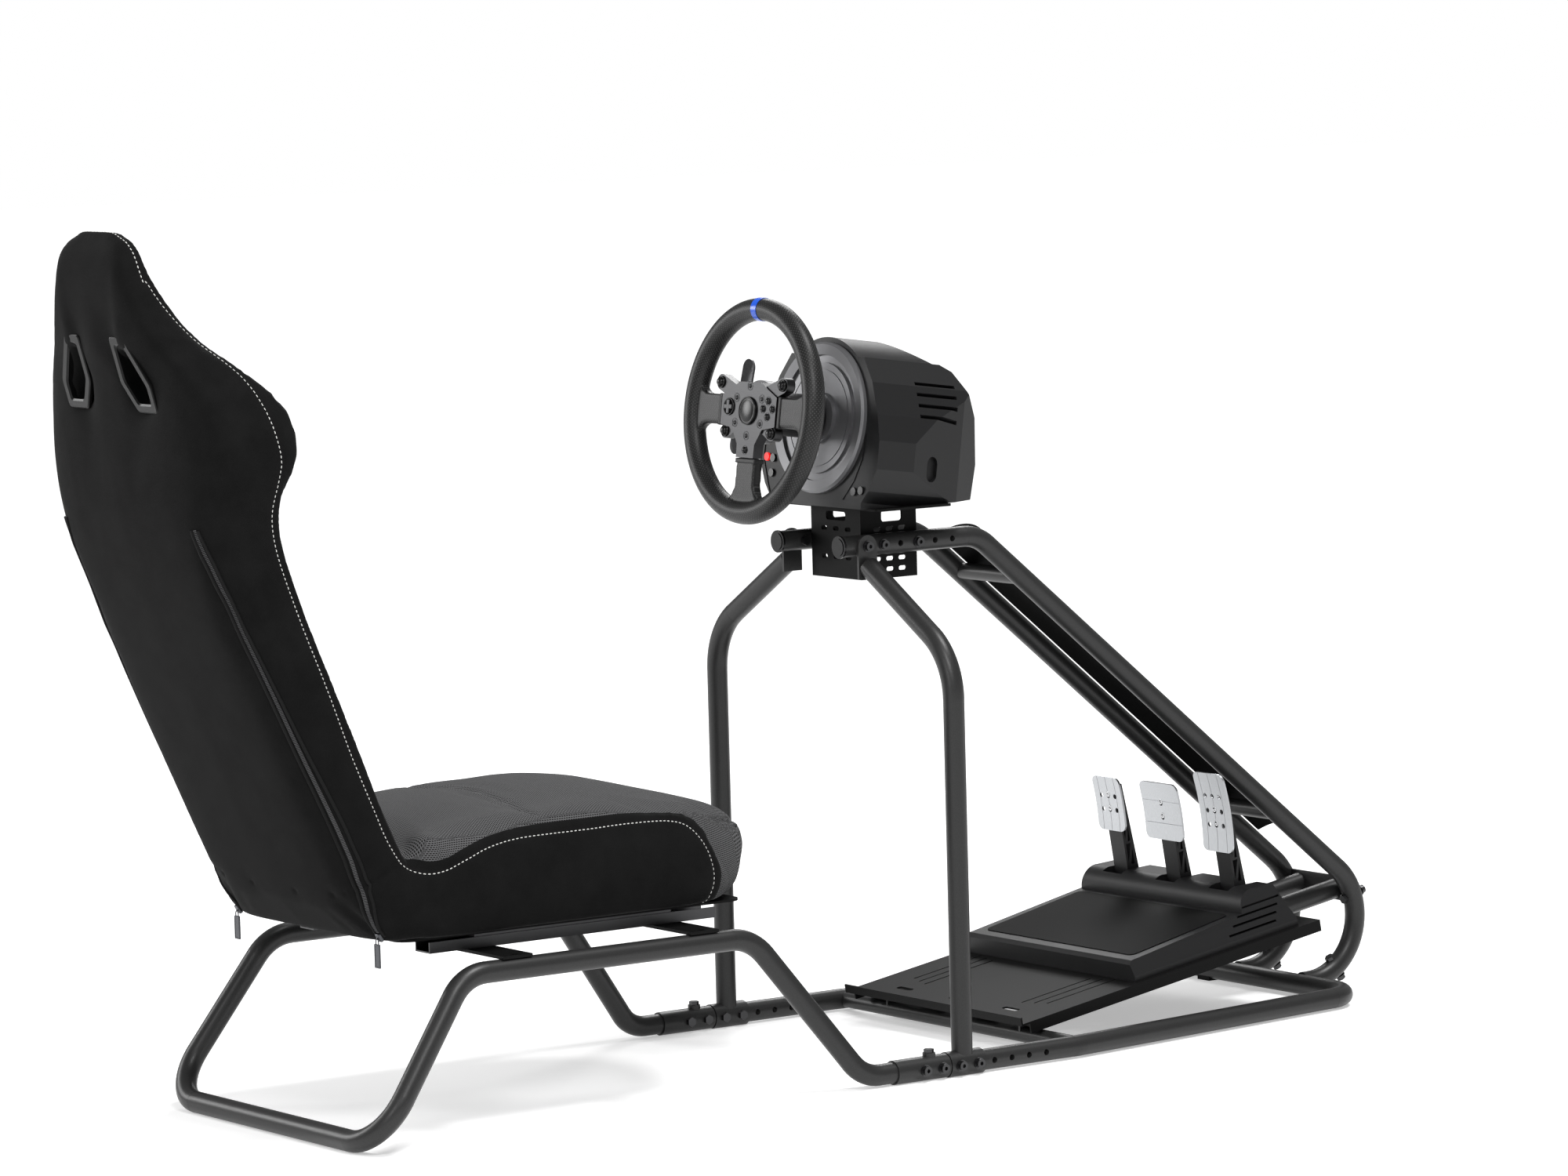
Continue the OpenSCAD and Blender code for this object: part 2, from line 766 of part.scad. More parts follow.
// Backrest stations from its foot to its top: share of the height, rear face behind the
// uprights, share of the waist or shoulder width, thickness at the side wings, how far the
// front is hollowed between them, and how far the rear bulges
back_foot_z = seat_z + pan_t + 0.3;
back_share = [
    0, 0.026, 0.2, 0.35, 0.5, 0.6, 0.645, 0.69, 0.755, 0.81, 0.855, 0.925, 0.97, 0.99, 1
];
back_rear = [
    822, 846, 919, 978, 1036, 1064, 1070, 1072, 1077, 1090, 1108, 1120, 1118, 1108, 1096
];
back_wide = [
    0.87, 0.95, 0.975, 1, 1.01, 1.02, 0.973, 1, 0.964, 0.818, 0.62, 0.46, 0.385, 0.285, 0.155
];
back_thick = [92, 104, 111, 115, 119, 120, 136, 158, 152, 118, 84, 60, 46, 30, 12];
back_hollow = [0, 5, 30, 42, 46, 48, 62, 86, 78, 42, 16, 6, 2, 0, 0];
back_bulge = [0, 4, 8, 8, 8, 8, 8, 6, 4, 2, 2, 2, 1, 0, 0];
waist_stations = 6;
back_steps = 30;
back_points = 32;
back_square = 0.36;
wide_scale = [
    for (i = [0:len(back_wide) - 1]) back_wide[i] * (i < waist_stations ? waist_w : shoulder_w)
];

// Rounded rectangle as a power of the circle: near 0 it is square, and 1 is the circle
function squared(v, p) = pow(abs(v), p) * sign(v);

function back_ring(t, grow) =
    let (
        z = back_foot_z + spline(back_share, t) * (seat_top_z - back_foot_z),
        w = spline(wide_scale, t) / 2 + grow,
        h = spline(back_thick, t) / 2,
        y = -spline(back_rear, t) + h,
        hollow = spline(back_hollow, t),
        bulge = spline(back_bulge, t)
    )
    [for (j = [0:back_points - 1])
        let (
            a = 360 * j / back_points,
            x = squared(cos(a), back_square),
            s = squared(sin(a), back_square)
        )
        [w * x, y + (h + grow) * s - (s > 0 ? hollow : bulge) * abs(s) * (1 - x * x), z]];

module back_solid(grow = 0)
    loft([for (i = [0:back_steps]) back_ring(i * (len(back_share) - 1) / back_steps, grow)]);

// Harness openings, one on each side below the head: narrow above, and wider to the
// outside below
slot_z = 973;
slot_mid = 74;
slot_w = 50;
slot_h = 72;

module harness_holes()
    for (s = [0, 1])
        mirror([s, 0, 0])
            translate([slot_mid, 0, slot_z])
                rotate([90, 0, 0])
                    linear_extrude(2 * rear_bar_y)
                        polygon([
                            [-slot_w / 2, slot_h / 2], [-slot_w * 0.15, slot_h / 2],
                            [slot_w / 2, -slot_h * 0.2], [slot_w / 2, -slot_h / 2],
                            [-slot_w * 0.1, -slot_h / 2], [-slot_w / 2, -slot_h * 0.1]
                        ]);

module seat_backrest() color("#131315")
    difference() {
        back_solid();
        harness_holes();
    }

// Side outlines of the cushion, behind the uprights and above the pan: through its middle
// and at its sides. They run round from the rear of the underside over the top to the nose.
cush_mid = [
    [776, 0], [790, 48], [780, 120], [740, 138], [640, 152], [540, 160], [440, 158], [340, 134],
    [264, 114], [cushion_front_y + 35, 97], [cushion_front_y + 4, 72], [cushion_front_y + 4, 44],
    [cushion_front_y + 22, 16], [cushion_front_y + 57, 0], [420, -1], [600, -1]
];
cush_side = [
    [776, 0], [786, 48], [770, 120], [735, 112], [670, 114], [600, 122], [520, 124], [450, 124],
    [400, 121], [368, 106], [342, 74], [332, 36], [340, 8], [365, 0], [480, -1], [620, -1]
];
cush_u = [0, 0.2, 0.4, 0.56, 0.7, 0.8, 0.87, 0.93, 0.975, 1];
cush_shrink = [1, 1, 1, 1, 1, 1, 1, 0.995, 0.97, 0.9];
cush_bolster = [0, 0, 0, 0, 3, 9, 12, 9, 3, 0];
cush_centre = [560, 62];
cush_steps = 24;
cush_points = 36;

// Smooth closed curve through listed values
function ring_spline(v, t) =
    let (
        n = len(v),
        i = floor(t),
        f = t - i,
        a = v[(i + n - 1) % n],
        b = v[i % n],
        c = v[(i + 1) % n],
        d = v[(i + 2) % n]
    )
    b + f * ((c - a) / 2 + f * (a - 2.5 * b + 2 * c - d / 2 + f * (1.5 * (b - c) + (d - a) / 2)));

function cush_ring(t) =
    let (
        u = spline(cush_u, abs(t)),
        side = pow(u, 2.2),
        k = spline(cush_shrink, abs(t)),
        high = spline(cush_bolster, abs(t)),
        n = len(cush_mid)
    )
    [for (j = [0:cush_points - 1])
        let (
            q = n * (1 - (j + 1) / cush_points),
            p = ring_spline(cush_mid, q) * (1 - side) + ring_spline(cush_side, q) * side,
            v = cush_centre + (p - cush_centre) * k,
            top = v[1] > cush_centre[1] && q > 2 && q < 9 ? high : 0
        )
        [sign(t) * u * cushion_w / 2, -v[0], seat_z + pan_t + 1.3 + v[1] + top]];

module seat_cushion() color("#2a2a2c")
    difference() {
        loft([for (i = [0:cush_steps]) cush_ring((2 * i / cush_steps - 1) * (len(cush_u) - 1))]);
        back_solid(0.4);
        translate([-shoulder_w / 2, -rear_bar_y, seat_z])
            cube([shoulder_w, rear_bar_y, pan_t + 0.4]);
    }

// Steering axis: origin on the front of the base, Z towards the driver
base_front_y = 6;
module on_axis(z = 0) {
    translate([0, -base_front_y, deck_z + axis_h])
        rotate([90 - axis_tilt, 0, 0])
            translate([0, 0, z])
                children();
}
base_deep = 190;
dome_d = 216;
shaft_d = 30;
shaft_in = 40;
ring_d = 202;
ring_t = 8;
rim_z = 112;
running_gap = 0.05;

// Right half of an outline, closed by its mirror image
function mirrored(p) = concat(p, [for (i = [len(p) - 1:-1:0]) [-p[i][0], p[i][1]]]);

base_front = mirrored([
    [104, -axis_h - 60], [104, -axis_h + 8], [118, -92], [133, -62], [133, -24], [124, 10],
    [106, 52], [82, 84]
]);
base_side = [
    [0, -axis_h - 60], [0, dome_d / 2 + 4], [-64, dome_d / 2 + 4], [-142, 76], [-178, 18],
    [-base_deep, -44], [-base_deep + 14, -axis_h - 60]
];
base_plan = mirrored([[136, 1], [134, -56], [112, -150], [94, -base_deep - 1]]);
base_panel = [
    [100, -16], [124, -26], [126, -58], [112, -90], [104, -axis_h + 10], [62, -axis_h + 10],
    [84, -80], [98, -50]
];
panel_in = 1.2;
vent_in = 7;

// Housing: what its front, its side and its top outline have in common, with vents in the
// shoulders, a hollow in each side, and an inset panel for the buttons on each side
module wheel_base() color("#18191b")
    difference() {
        intersection() {
            on_axis(-base_deep)
                linear_extrude(base_deep)
                    union() {
                        circle(d = dome_d, $fn = 96);
                        polygon(base_front);
                    }
            on_axis()
                rotate([90, 0, 90])
                    translate([0, 0, -dome_d])
                        linear_extrude(2 * dome_d)
                                polygon([for (p = base_side) [p[1], p[0]]]);
            on_axis()
                rotate([-90, 0, 0])
                    translate([0, 0, -2 * dome_d])
                        linear_extrude(4 * dome_d)
                            polygon([for (p = base_plan) [p[0], -p[1]]]);
            translate([-dome_d, -2 * base_deep, deck_z])
                cube([2 * dome_d, 4 * base_deep, 3 * axis_h]);
        }
        for (s = [0, 1])
            mirror([s, 0, 0]) {
                on_axis(-panel_in)
                    linear_extrude(2 * panel_in)
                        polygon(base_panel);
                for (i = [0:3])
                    on_axis(-104)
                        translate([118 - i * 7, 10 + 14 * i, 0])
                            rotate([0, 0, -62])
                                cube([5, 2 * vent_in + 4, 66], center = true);
                on_axis(-96)
                    translate([116, -56, 0])
                        rotate([90, 0, 90])
                            oval(34, 20, 40);
            }
        on_axis(-shaft_in)
            cylinder(d = shaft_d + 2 * running_gap, h = shaft_in + 1);
    }

// Turned ring on the base: each step is a radius and a height
ring_steps = [
    [shaft_d / 2 + 5, 0], [ring_d / 2, 0], [ring_d / 2, 5], [ring_d / 2 - 3, ring_t],
    [84, 6], [84, 2], [74, 2], [74, 5.5], [66, 5.5], [66, 4.5], [64.5, 4.5], [64.5, 5.5],
    [48, 5.5], [48, 2], [34, 2], [34, ring_t], [shaft_d / 2 + 5, ring_t]
];

module base_ring() color("#4a4c50")
    on_axis()
        rotate_extrude($fn = 96)
            polygon(ring_steps);

button_d = 11;
button_h = 3;
right_button_at = [[86, -94], [102, -92]];
left_button_at = [[-103, -58], [-104, -78]];
power_at = [-117, -57];

module base_buttons() color("#0f0f10")
    on_axis(-panel_in)
        for (p = concat(right_button_at, left_button_at))
            translate(p)
                cylinder(d = button_d, h = button_h);

// Lit red button at the lower left of the base
module power_button() color("#c2201d")
    on_axis(-panel_in)
        translate(power_at)
            cylinder(d = button_d, h = button_h);

// Everything that turns with the wheel
hub_d = 58;
hub_z = [14, 88];
spoke_t = 14;
spoke_z = rim_z - spoke_t / 2 - 1;
paddle_pin_x = 40;
paddle_pin_d = 4;
paddle_z = 74;
lug_gap = 24;
lug_t = 5;
lug_len = 28;
hub_flange_d = 84;

module wheel_column() color("#2f3033")
    on_axis() {
        translate([0, 0, -shaft_in + eps])
            cylinder(d = shaft_d, h = shaft_in + hub_z[0]);
        translate([0, 0, hub_z[0]])
            cylinder(d = hub_d, h = hub_z[1] - hub_z[0]);
        translate([0, 0, hub_z[1]])
            cylinder(d = hub_flange_d, h = spoke_z - hub_z[1]);
        for (s = [-1, 1]) {
            for (y = [-lug_gap / 2 - lug_t, lug_gap / 2])
                translate([s * paddle_pin_x - lug_len / 2 - s * 8, y, paddle_z - lug_t])
                    cube([lug_len, lug_t, 2 * lug_t]);
            translate([s * paddle_pin_x, lug_gap / 2 + lug_t, paddle_z])
                rotate([90, 0, 0])
                    cylinder(d = paddle_pin_d, h = lug_gap + 2 * lug_t);
        }
    }

// Leather-covered rim and the outer parts of its three spokes, in one piece. A spoke is
// a strip with a round fillet on each side where it meets the rim.
spoke_a = [0, 180, 270];
spoke_w = [40, 40, 42];
spoke_in = [63, 63, 62];
spoke_fillet = [22, 22, 26];
grip_r = rim_d / 2 - grip_d / 2;
rim_in_r = rim_d / 2 - grip_d;

module spoke_shape(i) {
    f = spoke_fillet[i];
    w = spoke_w[i] / 2;
    translate([spoke_in[i], -w])
        square([grip_r - spoke_in[i], 2 * w]);
    for (s = [0, 1])
        mirror([0, s])
            difference() {
                translate([rim_in_r - f, w - eps])
                    square([f + grip_d / 2, f + eps]);
                translate([rim_in_r - f, w + f])
                    circle(r = f, $fn = 48);
            }
}

module wheel_rim() color("#151516") {
    on_axis(rim_z)
        rotate_extrude($fn = 96)
            translate([grip_r, 0])
                circle(d = grip_d);
    on_axis(spoke_z)
        linear_extrude(spoke_t)
            intersection() {
                for (i = [0:2])
                    rotate(spoke_a[i])
                        spoke_shape(i);
                circle(r = grip_r, $fn = 96);
            }
}

// Frame of the hub under the front plate, with an ear for each of four buttons
hub_outline = mirrored([
    [19.5, -62], [20, -44], [34, -24], [62, -19.5], [62, 19.5], [40, 30], [24, 38]
]);
ear_at = [[70, 36], [52, -28]];
ear_root = [[34, 22], [24, -14]];
ear_d = [21, 20];

module wheel_spokes() color("#1b1c1d")
    on_axis(spoke_z + 1)
        linear_extrude(spoke_t - 1)
            union() {
                polygon(hub_outline);
                for (i = [0, 1], s = [0, 1])
                    mirror([s, 0])
                        hull_arm(ear_root[i], ear_at[i], ear_d[i]);
            }

// Rounded strip between two points in the plane. Its straight part is a hair narrower
// than its round ends.
strip_step = 0.1;
module hull_arm(a, b, d = 22) {
    u = b - a;
    translate(a)
        circle(d = d);
    translate(b)
        circle(d = d);
    translate(a)
        rotate(atan2(u[1], u[0]))
            translate([0, (strip_step - d) / 2])
                square([norm(u), d - strip_step]);
}
plate_z = spoke_z + spoke_t;
hub_plate_t = 2.4;
hub_screw_r = 33;
hub_screw_hole = 7;

module hub_plate() color("#3b3c3e")
    on_axis(plate_z)
        difference() {
            linear_extrude(hub_plate_t)
                polygon(hub_outline);
            for (a = [0:60:300])
                rotate(a + 90)
                    translate([hub_screw_r, 0, -1])
                        cylinder(d = hub_screw_hole, h = 2 * hub_plate_t + 1);
        }

badge_d = 37;
badge_h = 3;

module hub_badge() color("#101011")
    on_axis(plate_z + hub_plate_t)
        cylinder(d = badge_d, h = badge_h);

// Buttons: place, diameter and height. The ears' buttons stand on the hub frame.
pad_at = [-44, 4];
pad_d = 22;
action_mid = [44, 4];
action_step = 10.5;
action_d = 9;
ear_button_d = 11;
low_button_at = [0, -52];

module wheel_buttons() color("#0c0c0d") {
    on_axis(plate_z + hub_plate_t) {
        translate(pad_at)
            cylinder(d = pad_d, h = 2.5);
        for (a = [0:90:270])
            translate([action_mid[0] + action_step * cos(a), action_mid[1] + action_step * sin(a)])
                cylinder(d = action_d, h = 3);
        translate(low_button_at)
            cylinder(d = action_d, h = 3);
    }
    on_axis(plate_z)
        for (i = [0, 1], s = [-1, 1])
            translate([s * ear_at[i][0], ear_at[i][1]])
                cylinder(d = ear_button_d, h = 6);
}

// Band round the top of the grip: the angle it takes, its thickness and its clearance
marker_a = 4.8;
marker_t = 0.6;
marker_gap = 0.1;

module rim_marker() color("#1a4fae")
    on_axis(rim_z)
        rotate([0, 0, 90 - marker_a / 2])
            rotate_extrude(angle = marker_a)
                translate([grip_r, 0])
                    difference() {
                        circle(d = grip_d + 2 * (marker_gap + marker_t));
                        circle(d = grip_d + 2 * marker_gap);
                    }

paddle_t = 3;
paddle_w = 25;
paddle_mid = [80, 6];
paddle_lean = 8;

module paddle() color("#7d7f83")
    on_axis(paddle_z)
        difference() {
            union() {
                rotate([90, 0, 0])
                    translate([paddle_pin_x, 0, -lug_gap / 2 + 0.4])
                        cylinder(d = 9, h = lug_gap - 0.8);
                translate([paddle_pin_x, -lug_gap / 2 + 0.4, -paddle_t / 2])
                    cube([paddle_mid[0] - paddle_pin_x, lug_gap - 0.8, paddle_t]);
                translate([paddle_mid[0], paddle_mid[1], -paddle_t / 2])
                    rotate([0, 0, 90 + paddle_lean])
                        linear_extrude(paddle_t)
                            hull_arm([-paddle_len / 2, 0], [paddle_len / 2, 0], paddle_w);
            }
            rotate([90, 0, 0])
                translate([paddle_pin_x, 0, -lug_gap])
                    cylinder(d = paddle_pin_d + 2 * running_gap, h = 2 * lug_gap);
        }

module paddle_right() paddle();
module paddle_left() mirror([1, 0, 0]) paddle();

// Pedal set on the plate: wedge base with a rounded ridge, three sprung pedals in its
// pockets, and a footrest let into its tread
pedal_base_y = 205;
ridge_d = 84;
ridge_h = 66;
ridge_r = 24;
tread_h = [28, 38];
edge_r = 5;
pocket_w = 42;
pivot_y = pedal_base_y + pedal_base_d - ridge_d / 2 - 2;
pivot_z = 28;
pivot_d = 8;
arm_w = 30;
side_in = 9;
pedal_base_end = pedal_base_y + pedal_base_d;
ridge_y = pedal_base_end - ridge_d;

// Side outline of the base, along the plate and up from it
module base_outline()
    difference() {
        union() {
            polygon([
                [pedal_base_y, 0], [pedal_base_y, tread_h[0] - edge_r],
                [pedal_base_y + edge_r, tread_h[0]],
                [ridge_y, tread_h[1]], [ridge_y, ridge_h - ridge_r],
                [ridge_y + ridge_r, ridge_h], [pedal_base_end - 20, ridge_h - 4],
                [pedal_base_end, 12], [pedal_base_end, 0]
            ]);
            translate([ridge_y + ridge_r, ridge_h - ridge_r])
                circle(r = ridge_r, $fn = 48);
        }
        translate([0, -2 * ridge_h])
            square([2 * pedal_base_end, 2 * ridge_h]);
    }

module pedal_base() color("#161718")
    on_plate(0) {
        translate([-pedal_base_w / 2 + 20, pivot_y, pivot_z])
            rotate([0, 90, 0])
                cylinder(d = pivot_d, h = pedal_base_w - 40);
        difference() {
            intersection() {
                rotate([90, 0, 90])
                    translate([0, 0, -pedal_base_w / 2])
                        linear_extrude(pedal_base_w)
                            base_outline();
                rotate([90, 0, 0])
                    translate([0, 0, -2 * pedal_base_end])
                        linear_extrude(4 * pedal_base_end)
                            polygon(mirrored([
                                [pedal_base_w / 2, -1], [pedal_base_w / 2, 8],
                                [pedal_base_w / 2 - side_in, tread_h[0]],
                                [pedal_base_w / 2 - 2 * side_in, ridge_h + 1]
                            ]));
            }
            for (k = [-1, 0, 1])
                translate([k * pedal_pitch - pocket_w / 2, pivot_y - 28, 8])
                    cube([pocket_w, 64, ridge_h]);
            for (s = [0, 1], i = [0:3])
                mirror([s, 0, 0])
                    translate([pedal_base_w / 2 - 2 * side_in + 1, ridge_y - 34 + 12 * i, 14 + 10 * i])
                        cube([2 * side_in, ridge_d - 6 * i, 3]);
            tread_inset(footrest_in);
        }
    }

footrest_in = 1.2;
footrest_edge = 16;
tread_len = ridge_y - pedal_base_y;
tread_tilt = atan2(tread_h[1] - tread_h[0], tread_len - edge_r);

// Rounded plate in the plane of the tread, from deep under it to a hair above it
module tread_inset(deep, side_play = 0)
    translate([0, pedal_base_y + edge_r, tread_h[0]])
        rotate([tread_tilt, 0, 0])
            translate([0, (tread_len - edge_r) / 2 + 1, -deep])
                round_plate(pedal_base_w - 2 * side_in - 2 * footrest_edge - 2 * side_play,
                    tread_len - 2 * footrest_edge - 2 * side_play, 2 * footrest_in, 10);

module footrest() color("#0f1011")
    on_plate(0)
        tread_inset(footrest_in, 0.3);

// Side outline of a pedal arm: round foot, straight front, and windows between its webs
arm_foot_d = 22;
arm_top_t = 12;
arm_web = 3.5;

module arm_outline() {
    r = arm_foot_d / 2;
    difference() {
        union() {
            circle(d = arm_foot_d);
            polygon([[-r, 0], [r, 0], [-r + arm_top_t, pedal_arm_len], [-r, pedal_arm_len]]);
        }
        for (k = [0, 1])
            translate([0, 44 + 34 * k]) {
                polygon([
                    [-r + arm_web, 0], [-r + arm_web, 28],
                    [r - 2 * arm_web - 3 - 2 * k, 28]
                ]);
                polygon([
                    [-r + arm_web + 4, -3], [r - 2 * arm_web - 1.2 - 2 * k, -3],
                    [r - 2 * arm_web - 1.6 - 2 * k, 22]
                ]);
            }
    }
}

module pedal_arm(x) color("#1c1d1e")
    on_plate(pivot_y, pivot_z)
        translate([x - arm_w / 2, 0, 0])
            rotate([90, 0, 90])
                difference() {
                    linear_extrude(arm_w)
                        arm_outline();
                    translate([0, 0, -1])
                        cylinder(d = pivot_d + 2 * running_gap, h = arm_w + 2);
                }

// Faces of the pedals: gently bent sheets with screw holes and fine grooves
face_t = 3;
face_bend_r = 340;
face_hole_d = 7;
groove = 0.6;

module pedal_face(x, w, h, z, holes, grooves, across = false) color("#b9bbbe")
    on_plate(pivot_y, pivot_z)
        translate([x, -arm_foot_d / 2 - 0.01, z])
            rotate([90, 0, 0])
                difference() {
                    intersection() {
                        round_plate(w, h, h / 2, 10);
                        translate([-w, 0, face_bend_r])
                            rotate([0, 90, 0])
                                difference() {
                                    cylinder(r = face_bend_r, h = 2 * w, $fn = 96);
                                    translate([0, 0, -1])
                                        cylinder(r = face_bend_r - face_t, h = 2 * w + 2, $fn = 96);
                                }
                    }
                    for (p = holes)
                        translate([p[0], p[1], -1])
                            cylinder(d = face_hole_d, h = h / 2, $fn = 24);
                    for (g = grooves)
                        translate([across ? -w : g, across ? g : -h, face_t - groove])
                            cube([across ? 2 * w : groove, across ? groove : 2 * h, h]);
                }

face_mid_z = pedal_arm_len - 26;
hole_step = 15;
function hole_grid(xs, ys) = [for (x = xs, y = ys) [x * hole_step, y]];

module clutch_arm() pedal_arm(-pedal_pitch);
module brake_arm() pedal_arm(0);
module throttle_arm() pedal_arm(pedal_pitch);
module clutch_face()
    pedal_face(-pedal_pitch, 60, 78, face_mid_z, hole_grid([-1, 0, 1], [-9, 11]), [-18, 0, 18]);
module brake_face()
    pedal_face(0, 82, 82, face_mid_z, hole_grid([0], [-9, 11]), [-18, 14], true);
module throttle_face()
    pedal_face(pedal_pitch, 64, 112, face_mid_z + 10, hole_grid([-1, 0, 1], [-19, 1, 22]), [-20, 0, 20]);

// The origin is on the floor under the middle of the part's length
rear_reach = 1122.4;
front_reach = foot_c_y + (foot_r + tube_r + head_h) * cos(foot_bolt_a[0])
    + head_d / 2 * sin(foot_bolt_a[0]);
shift_y = (rear_reach - front_reach) / 2;
module placed() translate([0, shift_y, 0]) children();

placed() seat_frame();
placed() seat_mounts();
placed() slide_rails();
placed() base_frame();
placed() front_feet();
placed() heel_bar();
placed() upright_left();
placed() upright_right();
placed() arm_left();
placed() arm_right();
placed() arm_rungs();
placed() arm_caps();
placed() arm_cover();
placed() front_gusset();
placed() pedal_supports();
placed() pedal_plate();
placed() deck_bracket();
placed() wheel_deck();
placed() frame_bolts();
placed() arm_bolts();
placed() wheel_base();
placed() base_ring();
placed() base_buttons();
placed() power_button();
placed() pedal_base();
placed() footrest();
placed() seat_backrest();
placed() seat_cushion();
placed() seat_pan();
placed() slide_runners();
placed() wheel_column();
placed() wheel_rim();
placed() wheel_spokes();
placed() hub_plate();
placed() hub_badge();
placed() wheel_buttons();
placed() rim_marker();
placed() paddle_left();
placed() paddle_right();
placed() clutch_arm();
placed() clutch_face();
placed() brake_arm();
placed() brake_face();
placed() throttle_arm();
placed() throttle_face();
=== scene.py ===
# %% [markdown]
# # A sim racing cockpit
# The object is a driving place for games: a bent steel tube frame, a bucket seat on slide
# rails, a steering wheel unit on a raised deck, and three pedals on a sloping sheet. The
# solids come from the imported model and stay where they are. This notebook gives them their
# finishes and makes what is soft, sewn, perforated or brushed. Everything is in metres, with
# X to the driver's right, Y the way the driver faces, and Z up.

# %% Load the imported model
import json
import math

import bmesh
import bpy
import numpy as np
from mathutils import Matrix, Vector
from mathutils.bvhtree import BVHTree
from mathutils.kdtree import KDTree


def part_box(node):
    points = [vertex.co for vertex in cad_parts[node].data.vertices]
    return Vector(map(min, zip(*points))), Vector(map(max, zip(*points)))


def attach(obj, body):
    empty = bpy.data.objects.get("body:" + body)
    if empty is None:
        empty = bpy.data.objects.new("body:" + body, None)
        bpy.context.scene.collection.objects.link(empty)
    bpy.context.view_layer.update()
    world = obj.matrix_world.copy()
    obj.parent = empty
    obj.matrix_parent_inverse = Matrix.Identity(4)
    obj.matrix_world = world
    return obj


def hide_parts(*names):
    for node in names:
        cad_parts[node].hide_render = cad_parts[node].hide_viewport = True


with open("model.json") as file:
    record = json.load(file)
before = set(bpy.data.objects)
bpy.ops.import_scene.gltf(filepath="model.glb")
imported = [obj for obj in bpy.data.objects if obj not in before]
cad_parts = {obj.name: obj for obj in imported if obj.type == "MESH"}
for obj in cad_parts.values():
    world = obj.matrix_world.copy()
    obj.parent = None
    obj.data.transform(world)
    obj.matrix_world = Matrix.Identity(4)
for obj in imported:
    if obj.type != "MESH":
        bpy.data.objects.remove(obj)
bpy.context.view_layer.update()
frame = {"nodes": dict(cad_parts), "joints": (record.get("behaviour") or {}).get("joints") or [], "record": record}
nodes = frame["nodes"]
mm = 0.001

# %% [markdown]
# The photograph was taken from behind the seat and to its right, from far away with a long
# lens, a little above the steering wheel. The camera turns by three angles, and its place is
# counted from the foot of the two uprights, because those stand at the middle of the frame.

# %% Camera
upright_lo, upright_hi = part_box("upright_right")
upright_y = (upright_lo.y + upright_hi.y) / 2
camera_turn = math.radians(54.8)
camera_fall = math.radians(5.5)
camera_roll = math.radians(-1.5)
camera_place = Vector((7.0103, upright_y - 5.0203, 1.455))
sensor_mm = 36
lens_mm = 149.1

view_dir = Vector((-math.sin(camera_turn) * math.cos(camera_fall),
                   math.cos(camera_turn) * math.cos(camera_fall),
                   -math.sin(camera_fall)))
level_right = view_dir.cross(Vector((0, 0, 1))).normalized()
level_up = level_right.cross(view_dir)
right = level_right * math.cos(camera_roll) + level_up * math.sin(camera_roll)
up = level_up * math.cos(camera_roll) - level_right * math.sin(camera_roll)
turn = Matrix((right, up, -view_dir)).transposed().to_4x4()

camera_data = bpy.data.cameras.new("photo_camera")
camera_data.sensor_width = sensor_mm
camera_data.lens = lens_mm
camera_data.clip_end = 100
camera = bpy.data.objects.new("photo_camera", camera_data)
camera.matrix_world = Matrix.Translation(camera_place) @ turn
bpy.context.scene.collection.objects.link(camera)
bpy.context.scene.camera = camera
print("camera right", [round(v, 4) for v in right])

# %% [markdown]
# The photograph has a white ground with a soft shadow. The floor glows to the camera and to
# glossy rays, so that it comes out white, and is plain pale paint to the rest of the light,
# so that it doesn't flood the object. The world is white to the camera alone, because dark
# coats would mirror a white sky and turn grey.

# %% Light and floor
scene = bpy.context.scene
scene.view_settings.view_transform = "Standard"


def linear(hex_colour):
    """sRGB hex text to the linear colour that Blender's sockets take."""
    out = []
    for i in (0, 2, 4):
        c = int(hex_colour[i:i + 2], 16) / 255
        out.append(c / 12.92 if c <= 0.04045 else ((c + 0.055) / 1.055) ** 2.4)
    return (*out, 1)


def add(tree, kind, settings=None, **links):
    """Add a node: settings are its own properties, and links are values or sockets of its
    inputs, named with spaces as underscores, or by number as i0, i1."""
    node = tree.nodes.new(kind)
    for name, value in (settings or {}).items():
        setattr(node, name, value)
    for name, value in links.items():
        if name[0] == "i" and name[1:].isdigit():
            socket = node.inputs[int(name[1:])]
        else:
            socket = node.inputs[name.replace("_", " ")]
        if isinstance(value, bpy.types.NodeSocket):
            tree.links.new(value, socket)
        else:
            socket.default_value = value
    return node


sky_fill = 0.34
floor_glow = 0.42
world = bpy.data.worlds.new("studio")
scene.world = world
world.use_nodes = True
sky = world.node_tree
sky.nodes.clear()
ray = add(sky, "ShaderNodeLightPath")
fill = add(sky, "ShaderNodeBackground", Color=linear("EEEEEE"), Strength=sky_fill)
bright = add(sky, "ShaderNodeBackground", Color=linear("FFFFFF"), Strength=1.0)
both = add(sky, "ShaderNodeMixShader", i0=ray.outputs["Is Camera Ray"], i1=fill.outputs[0],
           i2=bright.outputs[0])
add(sky, "ShaderNodeOutputWorld", Surface=both.outputs[0])


def lamp(name, place, target, size, power):
    data = bpy.data.lights.new(name, "AREA")
    data.shape = "DISK"
    data.size = size
    data.energy = power
    obj = bpy.data.objects.new(name, data)
    obj.location = place
    obj.rotation_euler = (Vector(target) - Vector(place)).to_track_quat("-Z", "Y").to_euler()
    scene.collection.objects.link(obj)


